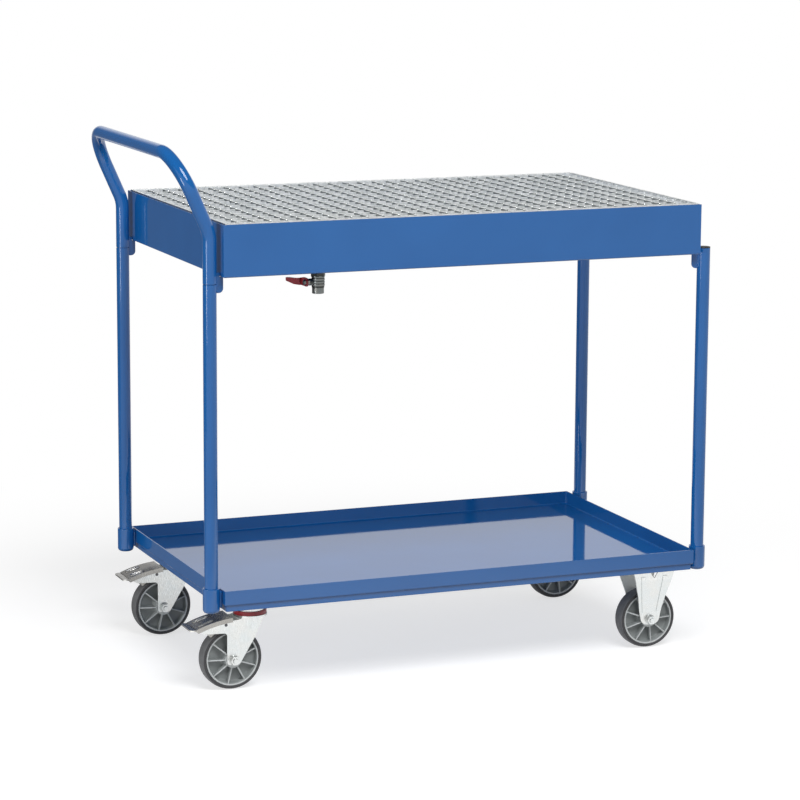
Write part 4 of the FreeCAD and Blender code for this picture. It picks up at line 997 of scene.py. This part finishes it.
@dataclass
class Stage:
    """White sweep, soft boxes and the camera at the photograph's angle.

    Ahead is the camera's side of the trolley, behind is the far side, and right is the picture's right. A
    span gives where a step or ramp starts and where it is complete: in metres on the floor, and as a part of
    a direction in the surround.
    """

    camera_at: Place = (-2.3619, -5.8820, 1.6768)
    yaw: float = 0.3835
    pitch: float = 0.1815
    roll: float = 0.0058
    lens_mm: float = 139.8
    sensor_mm: float = 36.0
    sight: float = 200.0
    floor_radius: float = 3.2
    floor_sides: int = 96
    floor_tone: float = 0.38
    floor_white: float = 0.5
    floor_glow: float = 0.64
    floor_shine: float = 1.0
    outer_shine: float = 1.5
    open_ahead: Span = (0.5, -0.2)
    open_behind: Span = (0.3, 0.7)
    open_right: Span = (-0.5, -0.2)
    shine_fades: Span = (2.4, 1.2)
    outer_from: Span = (0.85, 1.0)
    white_from: Span = (0.8, 1.8)
    sky: float = 0.28
    far_sky: float = 0.7
    dim: float = 0.16
    sky_low: Span = (0.42, 0.28)
    sky_right: Span = (-0.25, 0.15)
    sky_ahead: Span = (0.15, -0.25)
    sky_away: Span = (0.1, 0.8)
    far_sky_low: Span = (0.6, 0.3)
    target: Place = (0.0, 0.0, 0.55)
    boxes: dict[str, SoftBox] = field(default_factory=lambda: {
        "key_box": SoftBox((-0.2, -3.2, 4.3), 2.6, 2.6, 185.0),
        "side_box": SoftBox((-4.2, -1.7, 0.65), 1.0, 1.2, 24.0),
        "left_fill": SoftBox((-4.2, -0.7, 0.75), 0.7, 0.7, 42.0, glints=False),
    })

    def build(self) -> None:
        """Make the floor, the world, the lamps and the camera."""
        self.lay_floor()
        self.light_world()
        for name, box in self.boxes.items():
            box.hang(name, self.target)
        self.set_camera()

    def combine(self, tree: Nodes, how: str, *numbers: Socket | float) -> Socket:
        """Combine numbers from left to right, each a socket or a plain value.

        Args:
            tree: The nodes that take the operation.
            how: Blender's name of the operation.
            numbers: Two numbers or more.

        Returns:
            The combined number.
        """
        result, *others = numbers
        for other in others:
            pair = {0: result, 1: other}
            plain = {place: number for place, number in pair.items() if isinstance(number, float)}
            linked = {place: number for place, number in pair.items() if place not in plain}
            result = add_node(tree, "ShaderNodeMath", plain, linked, operation=how).outputs["Value"]
        return result

    def step(self, tree: Nodes, value: Socket, span: Span) -> Socket:
        """A soft step from zero at the span's start to one at its end.

        Args:
            tree: The nodes that take the step.
            value: The number that is followed.
            span: Where the step begins and where it is complete.

        Returns:
            A number from zero to one.
        """
        rises = span[0] < span[1]
        limits = {
            "From Min": min(span), "From Max": max(span), "To Min": float(not rises), "To Max": float(rises),
        }
        return add_node(
            tree, "ShaderNodeMapRange", limits, {"Value": value}, interpolation_type="SMOOTHSTEP",
        ).outputs["Result"]

    def ramp(self, tree: Nodes, value: Socket, low: float, high: float, span: Span = (0.0, 1.0)) -> Socket:
        """A straight ramp between two numbers.

        Args:
            tree: The nodes that take the ramp.
            value: The number that is followed.
            low: The number at the span's start.
            high: The number at its end.
            span: Where the ramp begins and ends.

        Returns:
            A number from low to high.
        """
        limits = {"From Min": span[0], "From Max": span[1], "To Min": low, "To Max": high}
        return add_node(tree, "ShaderNodeMapRange", limits, {"Value": value}).outputs["Result"]

    def clear_ray(self, tree: Nodes, path: bpy.types.Node) -> Socket:
        """One for a ray that comes straight from the camera or through glass."""
        rays = (path.outputs["Is Camera Ray"], path.outputs["Is Transmission Ray"])
        return self.combine(tree, "MAXIMUM", *rays)

    def lay_floor(self) -> None:
        """A wide matt floor that reads white in the open and keeps the trolley's shadow."""
        bpy.ops.mesh.primitive_circle_add(
            vertices=self.floor_sides, radius=self.floor_radius, fill_type="NGON",
        )
        floor = bpy.context.object
        floor.name = "studio_floor"
        paper = bpy.data.materials.new("white_paper_sweep")
        paper.use_nodes = True
        tree = paper.node_tree
        tree.nodes.remove(tree.nodes["Principled BSDF"])
        self.whiten_floor(tree)
        floor.data.materials.append(paper)

    def whiten_floor(self, tree: Nodes) -> None:
        """Shade the floor: matt paper with a glow, which turns to plain white away from the trolley.

        Args:
            tree: The paper's nodes, with only their output.
        """
        path = add_node(tree, "ShaderNodeLightPath")
        clear, gloss = self.clear_ray(tree, path), path.outputs["Is Glossy Ray"]
        tone = self.ramp(tree, path.outputs["Is Camera Ray"], self.floor_tone, self.floor_white)
        matt = add_node(tree, "ShaderNodeBsdfDiffuse", links={"Color": tone})
        place = add_node(tree, "ShaderNodeTexCoord").outputs["Object"]
        reach = add_node(tree, "ShaderNodeVectorMath", links={0: place}, operation="LENGTH").outputs["Value"]
        parts = add_node(tree, "ShaderNodeSeparateXYZ", links={"Vector": place}).outputs
        ahead = self.step(tree, parts["Y"], self.open_ahead)
        behind = self.combine(
            tree, "MULTIPLY",
            self.step(tree, parts["Y"], self.open_behind), self.step(tree, parts["X"], self.open_right),
        )
        open_floor = self.combine(tree, "MAXIMUM", ahead, behind)
        mirrored = self.combine(tree, "MULTIPLY", gloss, open_floor)
        level = self.ramp(tree, reach, self.floor_shine, self.outer_shine, self.outer_from)
        fades = self.step(tree, reach, self.shine_fades)
        shine = self.combine(tree, "MULTIPLY", mirrored, fades, level)
        near = self.combine(tree, "ADD", self.combine(tree, "MULTIPLY", clear, self.floor_glow), shine)
        glow = add_node(tree, "ShaderNodeEmission", links={"Strength": near})
        lit = add_node(tree, "ShaderNodeAddShader", links={0: matt.outputs[0], 1: glow.outputs[0]})
        far = self.step(tree, reach, self.white_from)
        share = self.combine(tree, "MULTIPLY", self.combine(tree, "ADD", clear, mirrored), far)
        white = add_node(tree, "ShaderNodeEmission", {"Strength": 1.0})
        sweep = add_node(
            tree, "ShaderNodeMixShader", links={0: share, 1: lit.outputs[0], 2: white.outputs[0]},
        )
        tree.links.new(sweep.outputs[0], tree.nodes["Material Output"].inputs["Surface"])

    def light_world(self) -> None:
        """A white surround: softer as a light, and white in the gloss only low down, ahead and right."""
        world = bpy.data.worlds.new("white_studio")
        bpy.context.scene.world = world
        world.use_nodes = True
        tree = world.node_tree
        path = add_node(tree, "ShaderNodeLightPath")
        way = add_node(tree, "ShaderNodeTexCoord").outputs["Generated"]
        parts = add_node(tree, "ShaderNodeSeparateXYZ", links={"Vector": way}).outputs
        low = self.step(tree, parts["Z"], self.sky_low)
        right = self.combine(tree, "MULTIPLY", low, self.step(tree, parts["X"], self.sky_right))
        ahead = self.combine(tree, "MULTIPLY", low, self.step(tree, parts["Y"], self.sky_ahead))
        gloss = self.combine(tree, "MAXIMUM", right, ahead, self.dim)
        away = self.combine(
            tree, "MAXIMUM",
            self.step(tree, parts["X"], self.sky_away), self.step(tree, parts["Y"], self.sky_away),
        )
        round_back = self.combine(tree, "MULTIPLY", away, self.step(tree, parts["Z"], self.far_sky_low))
        soft = add_node(tree, "ShaderNodeMix", {2: self.sky, 3: self.far_sky}, {0: round_back}).outputs[0]
        strength = add_node(
            tree, "ShaderNodeMix", links={0: path.outputs["Is Glossy Ray"], 2: soft, 3: gloss},
        ).outputs[0]
        clear = self.clear_ray(tree, path)
        strength = add_node(tree, "ShaderNodeMix", {3: 1.0}, {0: clear, 2: strength}).outputs[0]
        background = tree.nodes["Background"]
        background.inputs["Color"].default_value = linear("#FFFFFF")
        tree.links.new(strength, background.inputs["Strength"])

    def set_camera(self) -> None:
        """Stand the camera where the photograph was taken from."""
        forward = Vector((
            math.sin(self.yaw) * math.cos(self.pitch),
            math.cos(self.yaw) * math.cos(self.pitch),
            -math.sin(self.pitch),
        ))
        level = Vector((math.cos(self.yaw), -math.sin(self.yaw), 0.0))
        upright = level.cross(forward)
        right = level * math.cos(self.roll) + upright * math.sin(self.roll)
        up = upright * math.cos(self.roll) - level * math.sin(self.roll)
        turn = Matrix((right, up, -forward)).transposed().to_4x4()
        lens = bpy.data.cameras.new("studio_camera")
        lens.lens = self.lens_mm
        lens.sensor_width = self.sensor_mm
        lens.clip_end = self.sight
        camera = bpy.data.objects.new("studio_camera", lens)
        camera.matrix_world = Matrix.Translation(self.camera_at) @ turn
        bpy.context.collection.objects.link(camera)
        bpy.context.scene.camera = camera


def main() -> None:
    """Load the frame, dress every sub-assembly, and set the stage."""
    logging.basicConfig(level=logging.INFO, format="%(name)s: %(message)s")
    shop = Workshop(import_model())
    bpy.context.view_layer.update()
    for node in shop.nodes:
        shop.paint(node)
    for assembly in (Sump, LowerDeck, TubeFrame, Grating, DrainValve, Castors):
        assembly(shop).build()
    Stage().build()
    bpy.context.scene.view_settings.view_transform = "Standard"


if __name__ == "__main__":
    main()
